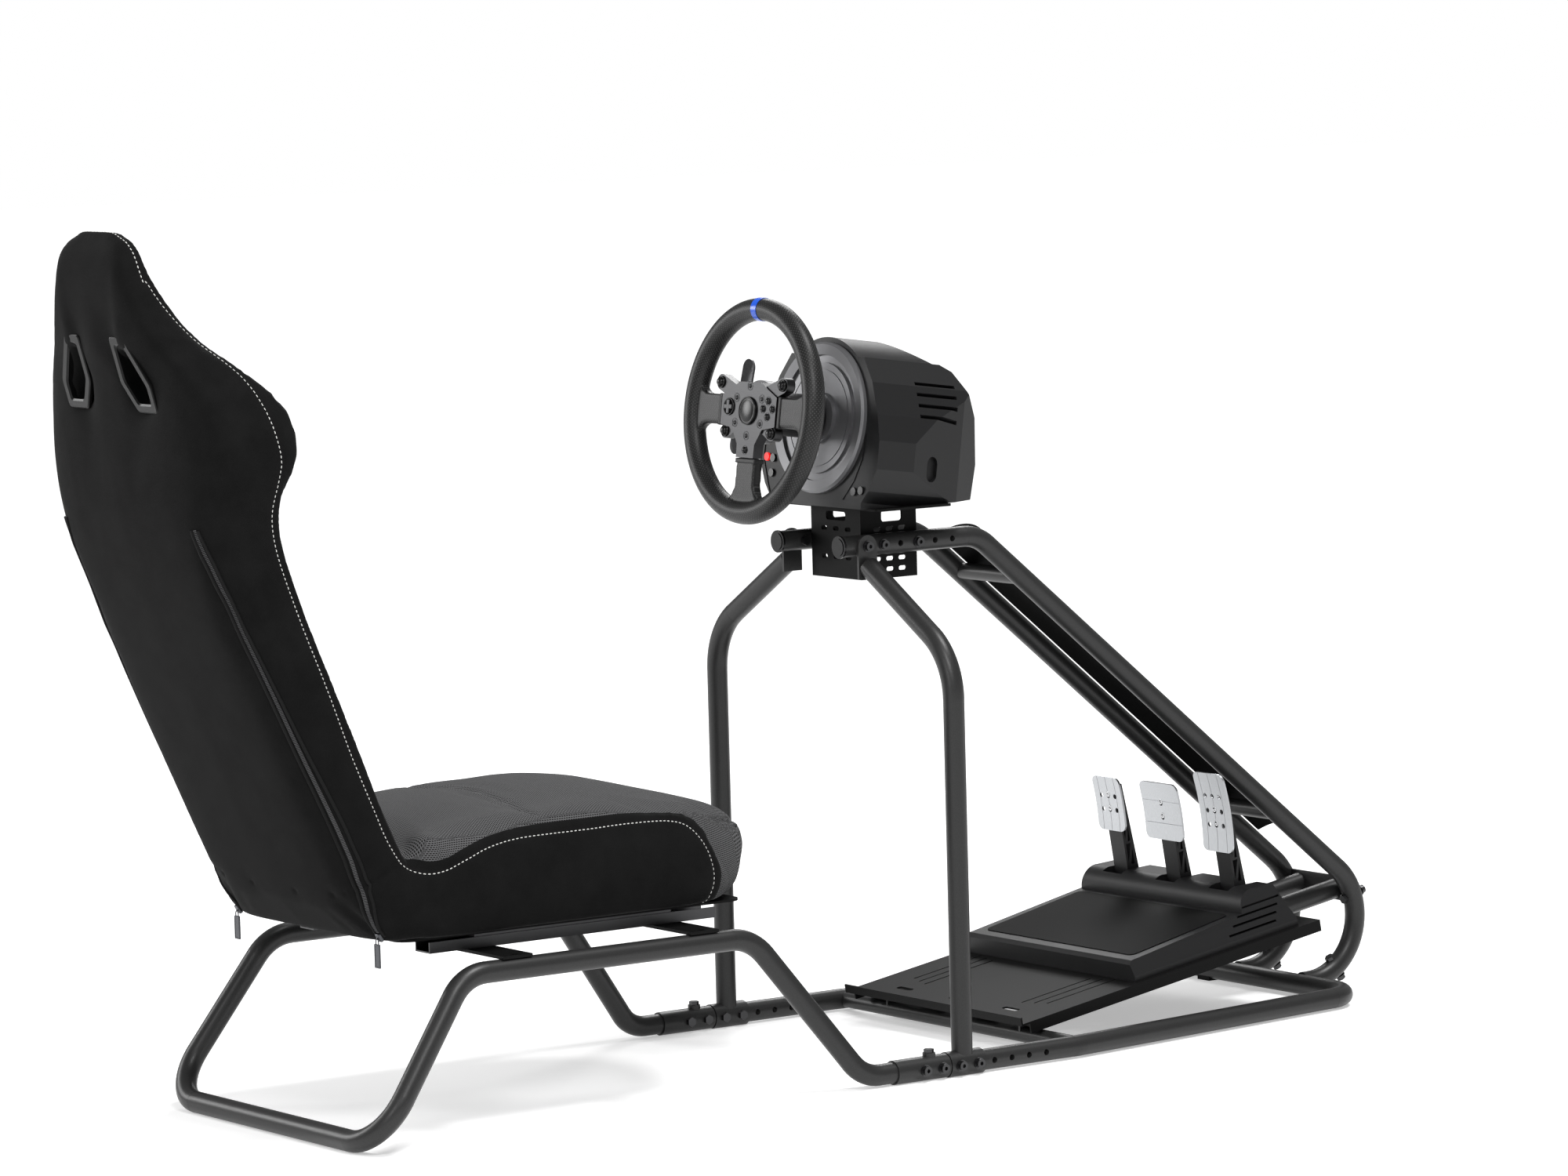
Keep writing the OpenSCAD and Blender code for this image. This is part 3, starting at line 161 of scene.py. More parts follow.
lamp("key", (3.2, -1.6, 3.6), (0, 0, 0.4), 1.6, 90)
lamp("back_fill", (2.0, -4.5, 2.2), (0, -0.6, 0.6), 1.6, 40)
lamp("front_rim", (-3.0, 2.6, 3.2), (0, 0.2, 0.6), 1.8, 60)
lamp("hub_glint", (-3.4, -2.6, 1.7), (0, 0, 0.8), 1.6, 60)
# An even light from high up, wide enough for a soft edge, lays the shadow on the floor.
overhead = bpy.data.lights.new("overhead", "SUN")
overhead.energy = 2.0
overhead.angle = math.radians(16)
overhead_lamp = bpy.data.objects.new("overhead", overhead)
overhead_lamp.rotation_euler = (math.radians(-12), math.radians(16), 0)
scene.collection.objects.link(overhead_lamp)

floor_mesh = bpy.data.meshes.new("floor")
half = 30
floor_mesh.from_pydata([(-half, -half, 0), (half, -half, 0), (half, half, 0), (-half, half, 0)],
                       [], [(0, 1, 2, 3)])
floor = bpy.data.objects.new("floor", floor_mesh)
scene.collection.objects.link(floor)
paint = bpy.data.materials.new("floor_paint")
paint.use_nodes = True
ground = paint.node_tree
ground.nodes.clear()
shade = add(ground, "ShaderNodeBsdfDiffuse", Color=linear("E8E8E8"))
glow = add(ground, "ShaderNodeEmission", Color=linear("FFFFFF"), Strength=floor_glow)
lit = add(ground, "ShaderNodeAddShader", i0=shade.outputs[0], i1=glow.outputs[0])
floor_ray = add(ground, "ShaderNodeLightPath")
floor_seen = add(ground, "ShaderNodeMath", {"operation": "MAXIMUM"},
             i0=floor_ray.outputs["Is Camera Ray"], i1=floor_ray.outputs["Is Glossy Ray"])
plain = add(ground, "ShaderNodeMixShader", i0=floor_seen.outputs[0], i1=shade.outputs[0],
            i2=lit.outputs[0])
add(ground, "ShaderNodeOutputMaterial", Surface=plain.outputs[0])
floor_mesh.materials.append(paint)

# %% [markdown]
# Each finish starts from the real one. The tubes and the sheet parts are steel with a powder
# coat: the powder melts into a skin with a fine orange peel, which softens the highlights.


# %% Helper for finishes
def finish(name, colour, rough, metal=0.0, **sockets):
    """A plain surface: name, sRGB hex, roughness, and other sockets of the shader."""
    made = bpy.data.materials.new(name)
    made.use_nodes = True
    made.node_tree.nodes.clear()
    body = add(made.node_tree, "ShaderNodeBsdfPrincipled", Base_Color=linear(colour),
               Roughness=rough, Metallic=metal, **sockets)
    add(made.node_tree, "ShaderNodeOutputMaterial", Surface=body.outputs[0])
    return made


def shader_of(material):
    for node in material.node_tree.nodes:
        if node.type == "BSDF_PRINCIPLED":
            return node


def place_of(tree, scale=(1, 1, 1)):
    """Object coordinates, scaled."""
    where = add(tree, "ShaderNodeTexCoord")
    return add(tree, "ShaderNodeMapping", Vector=where.outputs["Object"],
               Scale=scale).outputs[0]


def grain(material, pitch_mm, depth_mm):
    """Fine bumps of a real pitch and depth, such as orange peel or moulded texture."""
    tree = material.node_tree
    bumps = add(tree, "ShaderNodeTexNoise", Vector=place_of(tree), Scale=1 / (pitch_mm * mm),
                Detail=2.0, Roughness=0.5)
    raised = add(tree, "ShaderNodeBump", Strength=1.0, Distance=depth_mm * mm,
                 Height=bumps.outputs["Fac"])
    tree.links.new(raised.outputs[0], shader_of(material).inputs["Normal"])
    return bumps


def varied(material, source, low, high):
    """Colour that wanders a little between two sRGB values with a pattern."""
    tree = material.node_tree
    ramp = add(tree, "ShaderNodeMix", {"data_type": "RGBA"}, i0=source,
               i6=linear(low), i7=linear(high))
    tree.links.new(ramp.outputs[2], shader_of(material).inputs["Base Color"])


# %% Powder coats and fasteners
# Powder coat on tube: dark grey with a faint metal glint and a fine orange peel.
tube_coat = finish("powder_coated_steel_tube", "2E2E2E", 0.38, 0.3, Specular_IOR_Level=0.4)
varied(tube_coat, grain(tube_coat, 1.6, 0.08).outputs["Fac"], "282828", "353535")
# Powder coat on folded sheet: darker and smoother.
sheet_coat = finish("powder_coated_steel_sheet", "101010", 0.5, Specular_IOR_Level=0.08)
varied(sheet_coat, grain(sheet_coat, 1.4, 0.06).outputs["Fac"], "0D0D0D", "151515")
# Blackened steel of screws: a dark metal with a small sheen.
black_steel = finish("blackened_steel_screw", "4A4A4B", 0.34, 1.0)

# %% [markdown]
# The wheel unit and the pedal set are moulded in ABS with a fine spark-eroded texture. The
# pedal faces are aluminium, brushed up and down, and the hub plate is brushed and anodised.


# %% Plastics and metals
def brushed(name, low, high, rough, along, thread_mm=0.5, length_mm=60):
    """Brushed metal: long thin streaks along one axis, X 0, Y 1 or Z 2."""
    made = finish(name, low, rough, 1.0)
    tree = made.node_tree
    scale = [1 / (thread_mm * mm)] * 3
    scale[along] = 1 / (length_mm * mm)
    streaks = add(tree, "ShaderNodeTexNoise", Vector=place_of(tree, scale), Scale=1.0,
                  Detail=3.0, Roughness=0.6)
    varied(made, streaks.outputs["Fac"], low, high)
    worn = add(tree, "ShaderNodeMapRange", i0=streaks.outputs["Fac"], i1=0.25, i2=0.75,
               i3=rough - 0.06, i4=rough + 0.1)
    tree.links.new(worn.outputs[0], shader_of(made).inputs["Roughness"])
    return made


# ABS with a fine leather-like texture from its mould.
textured_abs = finish("moulded_abs_textured", "111112", 0.48, Specular_IOR_Level=0.35)
grain(textured_abs, 0.9, 0.1)
# ABS polished in its mould, for buttons and badge.
smooth_abs = finish("moulded_abs_gloss", "0E0E0F", 0.26, Specular_IOR_Level=0.3)
# Soft rubber, dull and slightly grey.
rubber = finish("moulded_rubber", "101010", 0.7, Specular_IOR_Level=0.12)
grain(rubber, 1.2, 0.12)
# Black anodised aluminium brushed from side to side: a dark metal with a long soft sheen.
hub_alu = brushed("brushed_black_anodised_aluminium", "262627", "505051", 0.36, 0)
# Satin grey paint on the ring round the wheel base, with a fine even grain.
ring_alu = finish("satin_grey_painted_aluminium", "707072", 0.4, 0.6)
grain(ring_alu, 0.8, 0.03)
# Darker aluminium brushed up and down, so that the paddles stand out from the housing.
paddle_alu = brushed("brushed_dark_aluminium", "6A6A6C", "98989A", 0.36, 2)
# Bright brushed aluminium: the palest metal on the object, streaked up and down.
pedal_alu = brushed("brushed_aluminium", "989A9D", "D0D2D4", 0.36, 2)
# Cobalt blue band at the top of the rim, glossy paint on leather.
blue_band = finish("blue_coated_leather", "1458D8", 0.25)
# Black leather with a soft sheen. Its holes are added further down.
leather = finish("perforated_nappa_leather", "131313", 0.42, Specular_IOR_Level=0.35)
# Red light behind a clear button.
lit_red = finish("translucent_red_abs_lit", "D01010", 0.45, Emission_Color=linear("FF1A14"),
                 Emission_Strength=0.9)

coats = {
    "frame_paint": tube_coat, "sheet_paint": sheet_coat, "steel": black_steel,
    "housing": textured_abs, "trim_plastic": smooth_abs, "rubber": rubber,
    "lit_red": lit_red, "seat_cloth": rubber, "cushion_mesh": rubber, "rim_leather": leather,
    "marker_band": blue_band, "hub_metal": hub_alu, "ring_metal": ring_alu,
    "pedal_metal": pedal_alu,
}
for part in frame["record"]["subparts"]:
    mesh = nodes[part["node"]].data
    mesh.materials.clear()
    mesh.materials.append(coats[part["material_slot"]])
for name in ("paddle_left", "paddle_right"):
    nodes[name].data.materials[0] = paddle_alu
print("finishes", len(coats))

# %% [markdown]
# The steel is blackened or powder coated; the seat is the soft part. It is moulded foam
# under a sewn cover: black brushed suede cloth on the shell's back and sides, and a charcoal
# spacer mesh where the driver sits. The cover starts as a copy of both solids made one. A
# voxel remesh gives an even net of small squares, cloth pressure swells each panel between
# its seams, and the seams are pressed in afterwards, because a remesh wipes out fine channels.


# %% Helpers for pieces
def new_object(name, mesh, coat=None):
    made = bpy.data.objects.new(name, mesh)
    scene.collection.objects.link(made)
    if coat:
        mesh.materials.append(coat)
    return made


def mesh_of(name, work):
    """Mesh data from a bmesh, which is freed."""
    mesh = bpy.data.meshes.new(name)
    work.to_mesh(mesh)
    work.free()
    return mesh


def settled(piece):
    """The evaluated shape becomes the piece's own mesh, and its modifiers go."""
    bpy.context.view_layer.update()
    view = bpy.context.evaluated_depsgraph_get()
    mesh = bpy.data.meshes.new_from_object(piece.evaluated_get(view))
    piece.modifiers.clear()
    piece.data = mesh
    return piece


def merged_copy(node, name):
    """Copy of a solid's mesh with its loose triangles joined up."""
    mesh = nodes[node].data.copy()
    work = bmesh.new()
    work.from_mesh(mesh)
    bmesh.ops.remove_doubles(work, verts=work.verts, dist=0.01 * mm)
    bmesh.ops.recalc_face_normals(work, faces=work.faces)
    work.to_mesh(mesh)
    work.free()
    mesh.materials.clear()
    return new_object(name, mesh)


def remeshed(piece, voxel_mm, smooth):
    net = piece.modifiers.new("net", "REMESH")
    net.mode = "VOXEL"
    net.voxel_size = voxel_mm * mm
    ease = piece.modifiers.new("ease", "SMOOTH")
    ease.factor = 0.5
    ease.iterations = smooth
    settled(piece)
    piece.data.polygons.foreach_set("use_smooth", [True] * len(piece.data.polygons))
    return piece


def places(piece):
    """Vertex places and normals as arrays."""
    count = len(piece.data.vertices)
    co = np.empty(count * 3)
    no = np.empty(count * 3)
    piece.data.vertices.foreach_get("co", co)
    piece.data.vertices.foreach_get("normal", no)
    return co.reshape(-1, 3), no.reshape(-1, 3)


def moved(piece, co):
    piece.data.vertices.foreach_set("co", co.ravel())
    piece.data.update()


def skin(*pieces):
    """Search tree over the surfaces of some pieces."""
    points, faces = [], []
    for piece in pieces:
        first = len(points)
        points += [v.co.copy() for v in piece.data.vertices]
        faces += [[first + i for i in f.vertices] for f in piece.data.polygons]
    return BVHTree.FromPolygons(points, faces)


def landed(tree, start, along):
    """Where a ray from start meets a surface, and the surface's direction, or None."""
    place, facing, _, _ = tree.ray_cast(Vector(start), Vector(along).normalized())
    return (place, facing) if place else None


def all_landed(tree, rays):
    """The places that rays of (start, along) find; those that miss are left out."""
    found = [landed(tree, start, along) for start, along in rays]
    return [hit for hit in found if hit]


def eased(points, step):
    """Smooth run through listed points, with a point about every step."""
    p = np.array(points, float)
    out = []
    for i in range(len(p) - 1):
        a, b, c, d = p[max(i - 1, 0)], p[i], p[i + 1], p[min(i + 2, len(p) - 1)]
        count = max(1, round(float(np.linalg.norm(c - b)) / step))
        for k in range(count):
            t = k / count
            out.append(b + t * ((c - a) / 2 + t * (a - 2.5 * b + 2 * c - d / 2
                                                   + t * (1.5 * (b - c) + (d - a) / 2))))
    out.append(p[-1])
    return np.array(out)


# %% [markdown]
# Seams show that this is a sewn cover. They could be painted into its colour, but a real seam
# is a valley that catches the light on both sides. So each seam is a list of points in one
# view, and rays find where it lies on the cover.

# %% Where the cover is sewn
# Side seam in side view, in mm behind the uprights and above the floor: from under the nose
# over the cushion's side, up the front of the backrest's wing and past the shoulder.
side_seam = [
    (-340, 258), (-329, 288), (-339, 326), (-365, 357), (-399, 370), (-460, 373), (-525, 372),
    (-620, 371), (-671, 364), (-707, 352), (-740, 341), (-770, 340), (-798, 354), (-820, 385),
    (-840, 429), (-871, 499), (-903, 581), (-936, 661), (-965, 739), (-975, 780), (-976, 811),
    (-971, 842), (-968, 870), (-974, 900), (-985, 935), (-1003, 975), (-1040, 1020),
    (-1066, 1060), (-1080, 1090),
]
# Rays start this far out, in metres.
reach_x = 0.5
reach_z = 0.6


def in_frame(y_mm, z_mm):
    return upright_y + y_mm * mm, z_mm * mm


def side_run(tree, points, side, step=4):
    """A run on the seat's flank: each point is found from outside, straight in, and a point
    in front of the wing's edge steps back until it meets the cover."""
    run = []
    for y_mm, z_mm in eased(points, step):
        for back in range(0, 45, 3):
            y, z = in_frame(y_mm - back, z_mm)
            hit = landed(tree, (side * reach_x, y, z), (-side, 0, 0))
            if hit and hit[0].x * side > 0.04:
                run.append(hit)
                break
    return run


def head_run(tree, back_mm=-1079, dip_mm=-11, centre_mm=1050):
    """The seam's arc over the head, from the right side to the left."""
    rays = []
    for step in range(22, 159, 2):
        a = math.radians(step)
        y, z = in_frame(back_mm + dip_mm * math.sin(a), centre_mm)
        out = Vector((math.cos(a), 0, math.sin(a)))
        rays.append((Vector((0, y, z)) + out * reach_x, -out))
    return all_landed(tree, rays)


def whole_seam(tree):
    right_side = side_run(tree, side_seam, 1)
    left_side = side_run(tree, side_seam, -1)
    return right_side + head_run(tree) + left_side[::-1]


# Cross seams on the sitting side: the cushion's pleat and the line along its nose, in mm to
# the right and behind the uprights, and three pleats across the backrest's mesh.
pleat = [(-172, -566), (-90, -575), (0, -580), (90, -584), (172, -592)]
nose_line = [(-150, -330), (-118, -268), (-75, -220), (-30, -203), (30, -203), (75, -220),
             (118, -268), (150, -330)]
back_pleats = [470, 600, 730]
panel_half = 128


def from_above(tree, points):
    return all_landed(tree, [((x * mm, in_frame(y, 0)[0], reach_z), (0, 0, -1))
                             for x, y in eased(points, 4)])


def from_front(tree, points):
    return all_landed(tree, [((x * mm, in_frame(-300, 0)[0], z * mm), (0, -1, 0))
                             for x, z in eased(points, 4)])


def panel_edge(side):
    return [(side * panel_half, z) for z in (425, 560, 700, 790)]


# %% [markdown]
# Foam makes each panel of the cover bulge between its seams. Cloth with pressure does the same:
# the points on the seams are held, the rest is blown out, and a cap keeps it near the foam.
# Each panel could be sculpted by hand instead, but it would not follow a change of the solids.

# %% Swell the cover between its seams
def united(name, node_names, proud_mm):
    """One piece of several solids, each a little fatter, so that a remesh makes them one."""
    work = bmesh.new()
    for node in node_names:
        part = merged_copy(node, name + "_trial")
        co, no = places(part)
        moved(part, co + no * proud_mm * mm)
        work.from_mesh(part.data)
        bpy.data.objects.remove(part)
    return new_object(name, mesh_of(name, work))


def near_run(co, runs):
    """Distance of each point from the nearest of some runs, and its way along the run."""
    tree = KDTree(sum(len(run) for run in runs))
    spot = 0
    way = []
    for run in runs:
        gone = 0.0
        for i, (place, _) in enumerate(run):
            gone += (place - run[i - 1][0]).length if i else 0
            tree.insert(place, spot)
            way.append(gone)
            spot += 1
    tree.balance()
    found = [tree.find(p) for p in co]
    return np.array([f[2] for f in found]), np.array([way[f[1]] for f in found])


voxel = 7.5
tuck = 2.5 * mm
swell = 6.0 * mm
pressure = 4
frames = 20
pan_level = 0.258
shell_level = 0.3
seat_cover = remeshed(united("seat_cover", ["seat_cushion", "seat_backrest"], 0.7), voxel, 4)
rest_skin = skin(seat_cover)
held_runs = [whole_seam(rest_skin), from_above(rest_skin, pleat)]
print("side seam points", len(held_runs[0]))
co, no = places(seat_cover)
far, _ = near_run(co, held_runs)
held = seat_cover.vertex_groups.new(name="held")
held.add([int(i) for i in np.where((far < voxel * mm) | (co[:, 2] < pan_level))[0]], 1.0,
         "REPLACE")
start = co - no * tuck
moved(seat_cover, start)
cloth = seat_cover.modifiers.new("cloth", "CLOTH")
cloth.settings.use_pressure = True
cloth.settings.uniform_pressure_force = pressure
cloth.settings.effector_weights.gravity = 0
cloth.settings.vertex_group_mass = "held"
for step in range(1, frames + 1):
    scene.frame_set(step)
settled(seat_cover)
scene.frame_set(1)
blown, _ = places(seat_cover)
way = blown - start
length = np.linalg.norm(way, axis=1, keepdims=True)
moved(seat_cover, start + way * np.minimum(1, swell / np.maximum(length, 1e-9)))
print("the cover swells by up to", round(float(length.max() * 1000), 1), "mm")
# The shell keeps the cover taut behind, so the buckles there are smoothed out.
co, no = places(seat_cover)
taut = seat_cover.vertex_groups.new(name="taut")
behind = (no[:, 1] < -0.2) & (co[:, 2] > shell_level)
taut.add([int(i) for i in np.where(behind)[0]], 1.0, "REPLACE")
flatten = seat_cover.modifiers.new("flatten", "SMOOTH")
flatten.factor = 0.5
flatten.iterations = 14
flatten.vertex_group = "taut"
finer = seat_cover.modifiers.new("finer", "SUBSURF")
finer.levels = finer.render_levels = 1
settled(seat_cover)
seat_cover.vertex_groups.clear()
seat_cover.data.polygons.foreach_set("use_smooth", [True] * len(seat_cover.data.polygons))
print("seat_cover faces", len(seat_cover.data.polygons))

# %% [markdown]
# A seam pulls the cover down into the foam in a narrow channel, and its thread gathers the
# cloth beside it into small puckers. Both are worked out from a point's distance to the seam,
# on the finer mesh, because the coarse net of the cloth can't hold a channel this narrow.

# %% Press the seams in
cover_skin = skin(seat_cover)
seam_run = whole_seam(cover_skin)
flank_seam = [(-803, 352), (-834, 338), (-866, 318), (-880, 300)]
flank_runs = [side_run(cover_skin, flank_seam, side) for side in (1, -1)]
cushion_runs = [from_above(cover_skin, pleat), from_above(cover_skin, nose_line)]
back_runs = [from_front(cover_skin, [(-panel_half, z), (0, z - 4), (panel_half, z)])
             for z in back_pleats]
edge_runs = [from_front(cover_skin, panel_edge(side)) for side in (-1, 1)]
pucker_pitch = 17 * mm
pucker_reach = 9 * mm


def pressed(piece, runs, depth_mm, width_mm, pucker_mm):
    co, no = places(piece)
    far, way = near_run(co, runs)
    channel = depth_mm * mm * np.exp(-(far / (width_mm * mm)) ** 2)
    gather = (pucker_mm * mm * np.sin(way * 2 * math.pi / pucker_pitch) ** 2
              * np.exp(-((far - pucker_reach) / pucker_reach) ** 2))
    moved(piece, co - no * (channel + gather)[:, None])


pressed(seat_cover, [seam_run], 2.0, 4.0, 0.5)
pressed(seat_cover, flank_runs, 2.0, 4.0, 0.5)
pressed(seat_cover, cushion_runs, 3.6, 4.0, 0.7)
pressed(seat_cover, back_runs, 3.0, 5.0, 0.6)
pressed(seat_cover, edge_runs, 2.2, 4.0, 0.4)

# %% [markdown]
# Two cloths meet in one cover, so one material holds both: an attribute on the mesh says how
# far a point lies inside the spacer mesh, and another holds the way across and along the
# cloth, so that its cells follow the cushion round the nose. Suede cloth has a short nap that
# lies in patches and takes the light at its edges. Spacer mesh is a knit of open cells.

# %% Which cloth is where
# Line down the middle of the cushion and over its nose, in mm, to measure along the cloth.
middle_line = eased([(-800, 400), (-640, 405), (-540, 412), (-440, 410), (-340, 386),
                     (-264, 366), (-213, 349), (-182, 324), (-182, 296), (-200, 268),
                     (-235, 252), (-330, 250)], 5)


def flank_test(y, z):
    """Whether points in side view are on the flank, below and behind the side seam."""
    shape = [(-339, 150), *side_seam[:15], (-900, 432), (-900, 150)]
    inside = np.zeros(len(y), bool)
    for (ya, za), (yb, zb) in zip(shape, shape[1:] + shape[:1]):
        crossed = (za > z) != (zb > z)
        at = ya + (z - za) / np.where(zb == za, 1e-9, zb - za) * (yb - ya)
        inside ^= crossed & (y < at)
    return inside


def write(piece, name, kind, values):
    made = piece.data.attributes.new(name, kind, "POINT")
    made.data.foreach_set("vector" if kind == "FLOAT_VECTOR" else "value",
                          np.asarray(values, np.float32).ravel())


edge_band = 13 * mm
back_from_z = 0.43
back_from_y = -790
mesh_top = 0.79
nose_behind = -262
nose_share = 0.55
co, no = places(seat_cover)
far, _ = near_run(co, [seam_run])
behind = (co[:, 1] - upright_y) / mm
flank = flank_test(behind, co[:, 2] / mm)
on_back = (co[:, 2] > back_from_z) | (behind < back_from_y)
inward = np.minimum(panel_half * mm - np.abs(co[:, 0]), mesh_top - co[:, 2])
back_mesh = np.where(no[:, 1] > 0.2, inward, -0.05)
cushion_mesh = np.where(flank, -far, far) - edge_band
write(seat_cover, "mesh_cloth", "FLOAT", np.where(on_back, back_mesh, cushion_mesh))
line = np.array([(upright_y + y * mm, z * mm) for y, z in middle_line])
gone = np.concatenate([[0], np.cumsum(np.linalg.norm(np.diff(line, axis=0), axis=1))])
nearest = np.array([np.argmin(((line - p) ** 2).sum(1)) for p in co[:, 1:]])
tangent = np.gradient(line, axis=0)
tangent /= np.linalg.norm(tangent, axis=1)[:, None]
along = gone[nearest] + ((co[:, 1:] - line[nearest]) * tangent[nearest]).sum(1)
along = np.where(on_back, co[:, 2] * 1.08, along)
# On the nose's sides the cloth lies in side view instead.
sideways = (np.abs(no[:, 0]) > 0.6)[:, None]
way = np.where(sideways, np.c_[co[:, 1:], 0 * along], np.c_[co[:, 0], along, 0 * along])
# The nose is a coarser mesh than the top.
nose = (~on_back & (behind > nose_behind))[:, None]
write(seat_cover, "cloth_way", "FLOAT_VECTOR", np.where(nose, way * nose_share, way))

# %% Cover cloths
# Brushed suede cloth: nearly black and without a shine, its nap lies in soft patches.
suede = finish("brushed_suede_cloth_and_spacer_mesh", "0E0E0E", 0.9, Sheen_Weight=0.03,
               Sheen_Roughness=0.4, Specular_IOR_Level=0.08)
cloths = suede.node_tree
nap = add(cloths, "ShaderNodeTexNoise", Vector=place_of(cloths), Scale=22.0, Detail=3.0, Roughness=0.6)
fibre = add(cloths, "ShaderNodeTexNoise", Vector=place_of(cloths), Scale=1 / (0.9 * mm), Detail=2.0,
            Roughness=0.7)
napped = add(cloths, "ShaderNodeMix", {"data_type": "RGBA"}, i0=nap.outputs["Fac"],
             i6=linear("0A0A0A"), i7=linear("191919"))
# Spacer mesh: cells 3.6 mm wide, drawn a little coarser than real so that they show.
way = add(cloths, "ShaderNodeAttribute", {"attribute_name": "cloth_way"})
cells = add(cloths, "ShaderNodeTexBrick", {"offset": 0.5}, Vector=way.outputs["Vector"],
            Color1=linear("121212"), Color2=linear("1A1A1A"), Mortar=linear("5E5E5F"),
            Scale=1.0, Mortar_Size=0.75 * mm, Mortar_Smooth=0.6, Brick_Width=3.6 * mm,
            Row_Height=2.4 * mm)
inside = add(cloths, "ShaderNodeAttribute", {"attribute_name": "mesh_cloth"})
where = add(cloths, "ShaderNodeMapRange", i0=inside.outputs["Fac"], i1=-0.4 * mm, i2=0.4 * mm)
both = add(cloths, "ShaderNodeMix", {"data_type": "RGBA"}, i0=where.outputs[0],
           i6=napped.outputs[2], i7=cells.outputs["Color"])
knit = add(cloths, "ShaderNodeMix", {"data_type": "FLOAT"}, i0=where.outputs[0],
           i2=fibre.outputs["Fac"], i3=cells.outputs["Fac"])
raised = add(cloths, "ShaderNodeBump", Strength=0.6, Distance=0.5 * mm, Height=knit.outputs[0])
for source, socket in ((both.outputs[2], "Base Color"), (raised.outputs[0], "Normal")):
    cloths.links.new(source, shader_of(suede).inputs[socket])
seat_cover.data.materials.clear()
seat_cover.data.materials.append(suede)
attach(seat_cover, "seat")
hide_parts("seat_cushion", "seat_backrest")

# %% [markdown]
# Stitches, zip teeth and screws repeat, so Geometry Nodes set them out. One tree walks along
# a path at a pitch and turns each copy with the path, with its back to the surface. Another
# puts a copy on each point, facing the way that the point's attribute says.


# %% Trees for what repeats
def new_tree(name, **inputs):
    tree = bpy.data.node_groups.new(name, "GeometryNodeTree")
    tree.interface.new_socket("Geometry", in_out="INPUT", socket_type="NodeSocketGeometry")
    for title, kind in inputs.items():
        tree.interface.new_socket(title, in_out="INPUT", socket_type="NodeSocket" + kind)
    tree.interface.new_socket("Geometry", in_out="OUTPUT", socket_type="NodeSocketGeometry")
    return tree, tree.nodes.new("NodeGroupInput"), tree.nodes.new("NodeGroupOutput")


def facing_of(tree):
    """The way that each point of the given mesh faces."""
    return add(tree, "GeometryNodeInputNamedAttribute", {"data_type": "FLOAT_VECTOR"},
               Name="facing").outputs["Attribute"]


def set_out(tree, given, out, **where):
    """Copies of the shape on some points, made real and given their coat."""
    shape = add(tree, "GeometryNodeObjectInfo", Object=given.outputs["Shape"])
    put = add(tree, "GeometryNodeInstanceOnPoints", Instance=shape.outputs["Geometry"], **where)
    solid = add(tree, "GeometryNodeRealizeInstances", Geometry=put.outputs[0])
    coated = add(tree, "GeometryNodeSetMaterial", Geometry=solid.outputs[0],
                 Material=given.outputs["Coat"])
    tree.links.new(coated.outputs[0], out.inputs[0])


along_path, given, out = new_tree("copies_along_path", Shape="Object", Pitch="Float",
                                  Coat="Material")
path_line = add(along_path, "GeometryNodeMeshToCurve", Mesh=given.outputs["Geometry"])
even = add(along_path, "GeometryNodeResampleCurve", {"mode": "LENGTH"},
           Curve=path_line.outputs[0], Length=given.outputs["Pitch"])
ahead = add(along_path, "GeometryNodeInputTangent")
turned = add(along_path, "FunctionNodeAlignRotationToVector", {"axis": "X"},
             Vector=ahead.outputs[0])
rolled = add(along_path, "FunctionNodeAlignRotationToVector", {"axis": "Z", "pivot_axis": "X"},
             Rotation=turned.outputs[0], Vector=facing_of(along_path))
set_out(along_path, given, out, Points=even.outputs[0], Rotation=rolled.outputs[0])

on_points, given, out = new_tree("copies_on_points", Shape="Object", Size="Float",
                                 Coat="Material")
own_size = add(on_points, "GeometryNodeInputNamedAttribute", {"data_type": "FLOAT"},
               Name="size")
faced = add(on_points, "FunctionNodeAlignRotationToVector", {"axis": "Z"},
            Vector=facing_of(on_points))
scaled = add(on_points, "ShaderNodeMath", {"operation": "MULTIPLY"},
             i0=own_size.outputs["Attribute"], i1=given.outputs["Size"])
set_out(on_points, given, out, Points=given.outputs["Geometry"], Rotation=faced.outputs[0],
        Scale=scaled.outputs[0])


def spots(name, runs, joined=True, lift=0.0, sizes=None):
    """Runs of (place, facing) as a mesh of points, joined by edges or loose."""
    flat = [hit for run in runs for hit in run]
    edges, first = [], 0
    for run in runs:
        edges += [(first + i, first + i + 1) for i in range(len(run) - 1)
                  if joined and (run[i + 1][0] - run[i][0]).length < 0.03]
        first += len(run)
    mesh = bpy.data.meshes.new(name)
    mesh.from_pydata([place + facing * lift for place, facing in flat], edges, [])
    made = mesh.attributes.new("facing", "FLOAT_VECTOR", "POINT")
    made.data.foreach_set("vector", [c for _, facing in flat for c in facing])
    made = mesh.attributes.new("size", "FLOAT", "POINT")
    made.data.foreach_set("value", sizes or [1.0] * len(flat))
    return mesh


def grown(name, tree, mesh, body, slot, **values):
    piece = new_object(name, mesh)
    grow = piece.modifiers.new("grow", "NODES")
    grow.node_group = tree
    for item in tree.interface.items_tree:
        if item.in_out == "INPUT" and item.name in values:
            grow[item.identifier] = values[item.name]
    settled(piece)
    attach(piece, body)
    print(name, "faces", len(piece.data.polygons))
    return piece


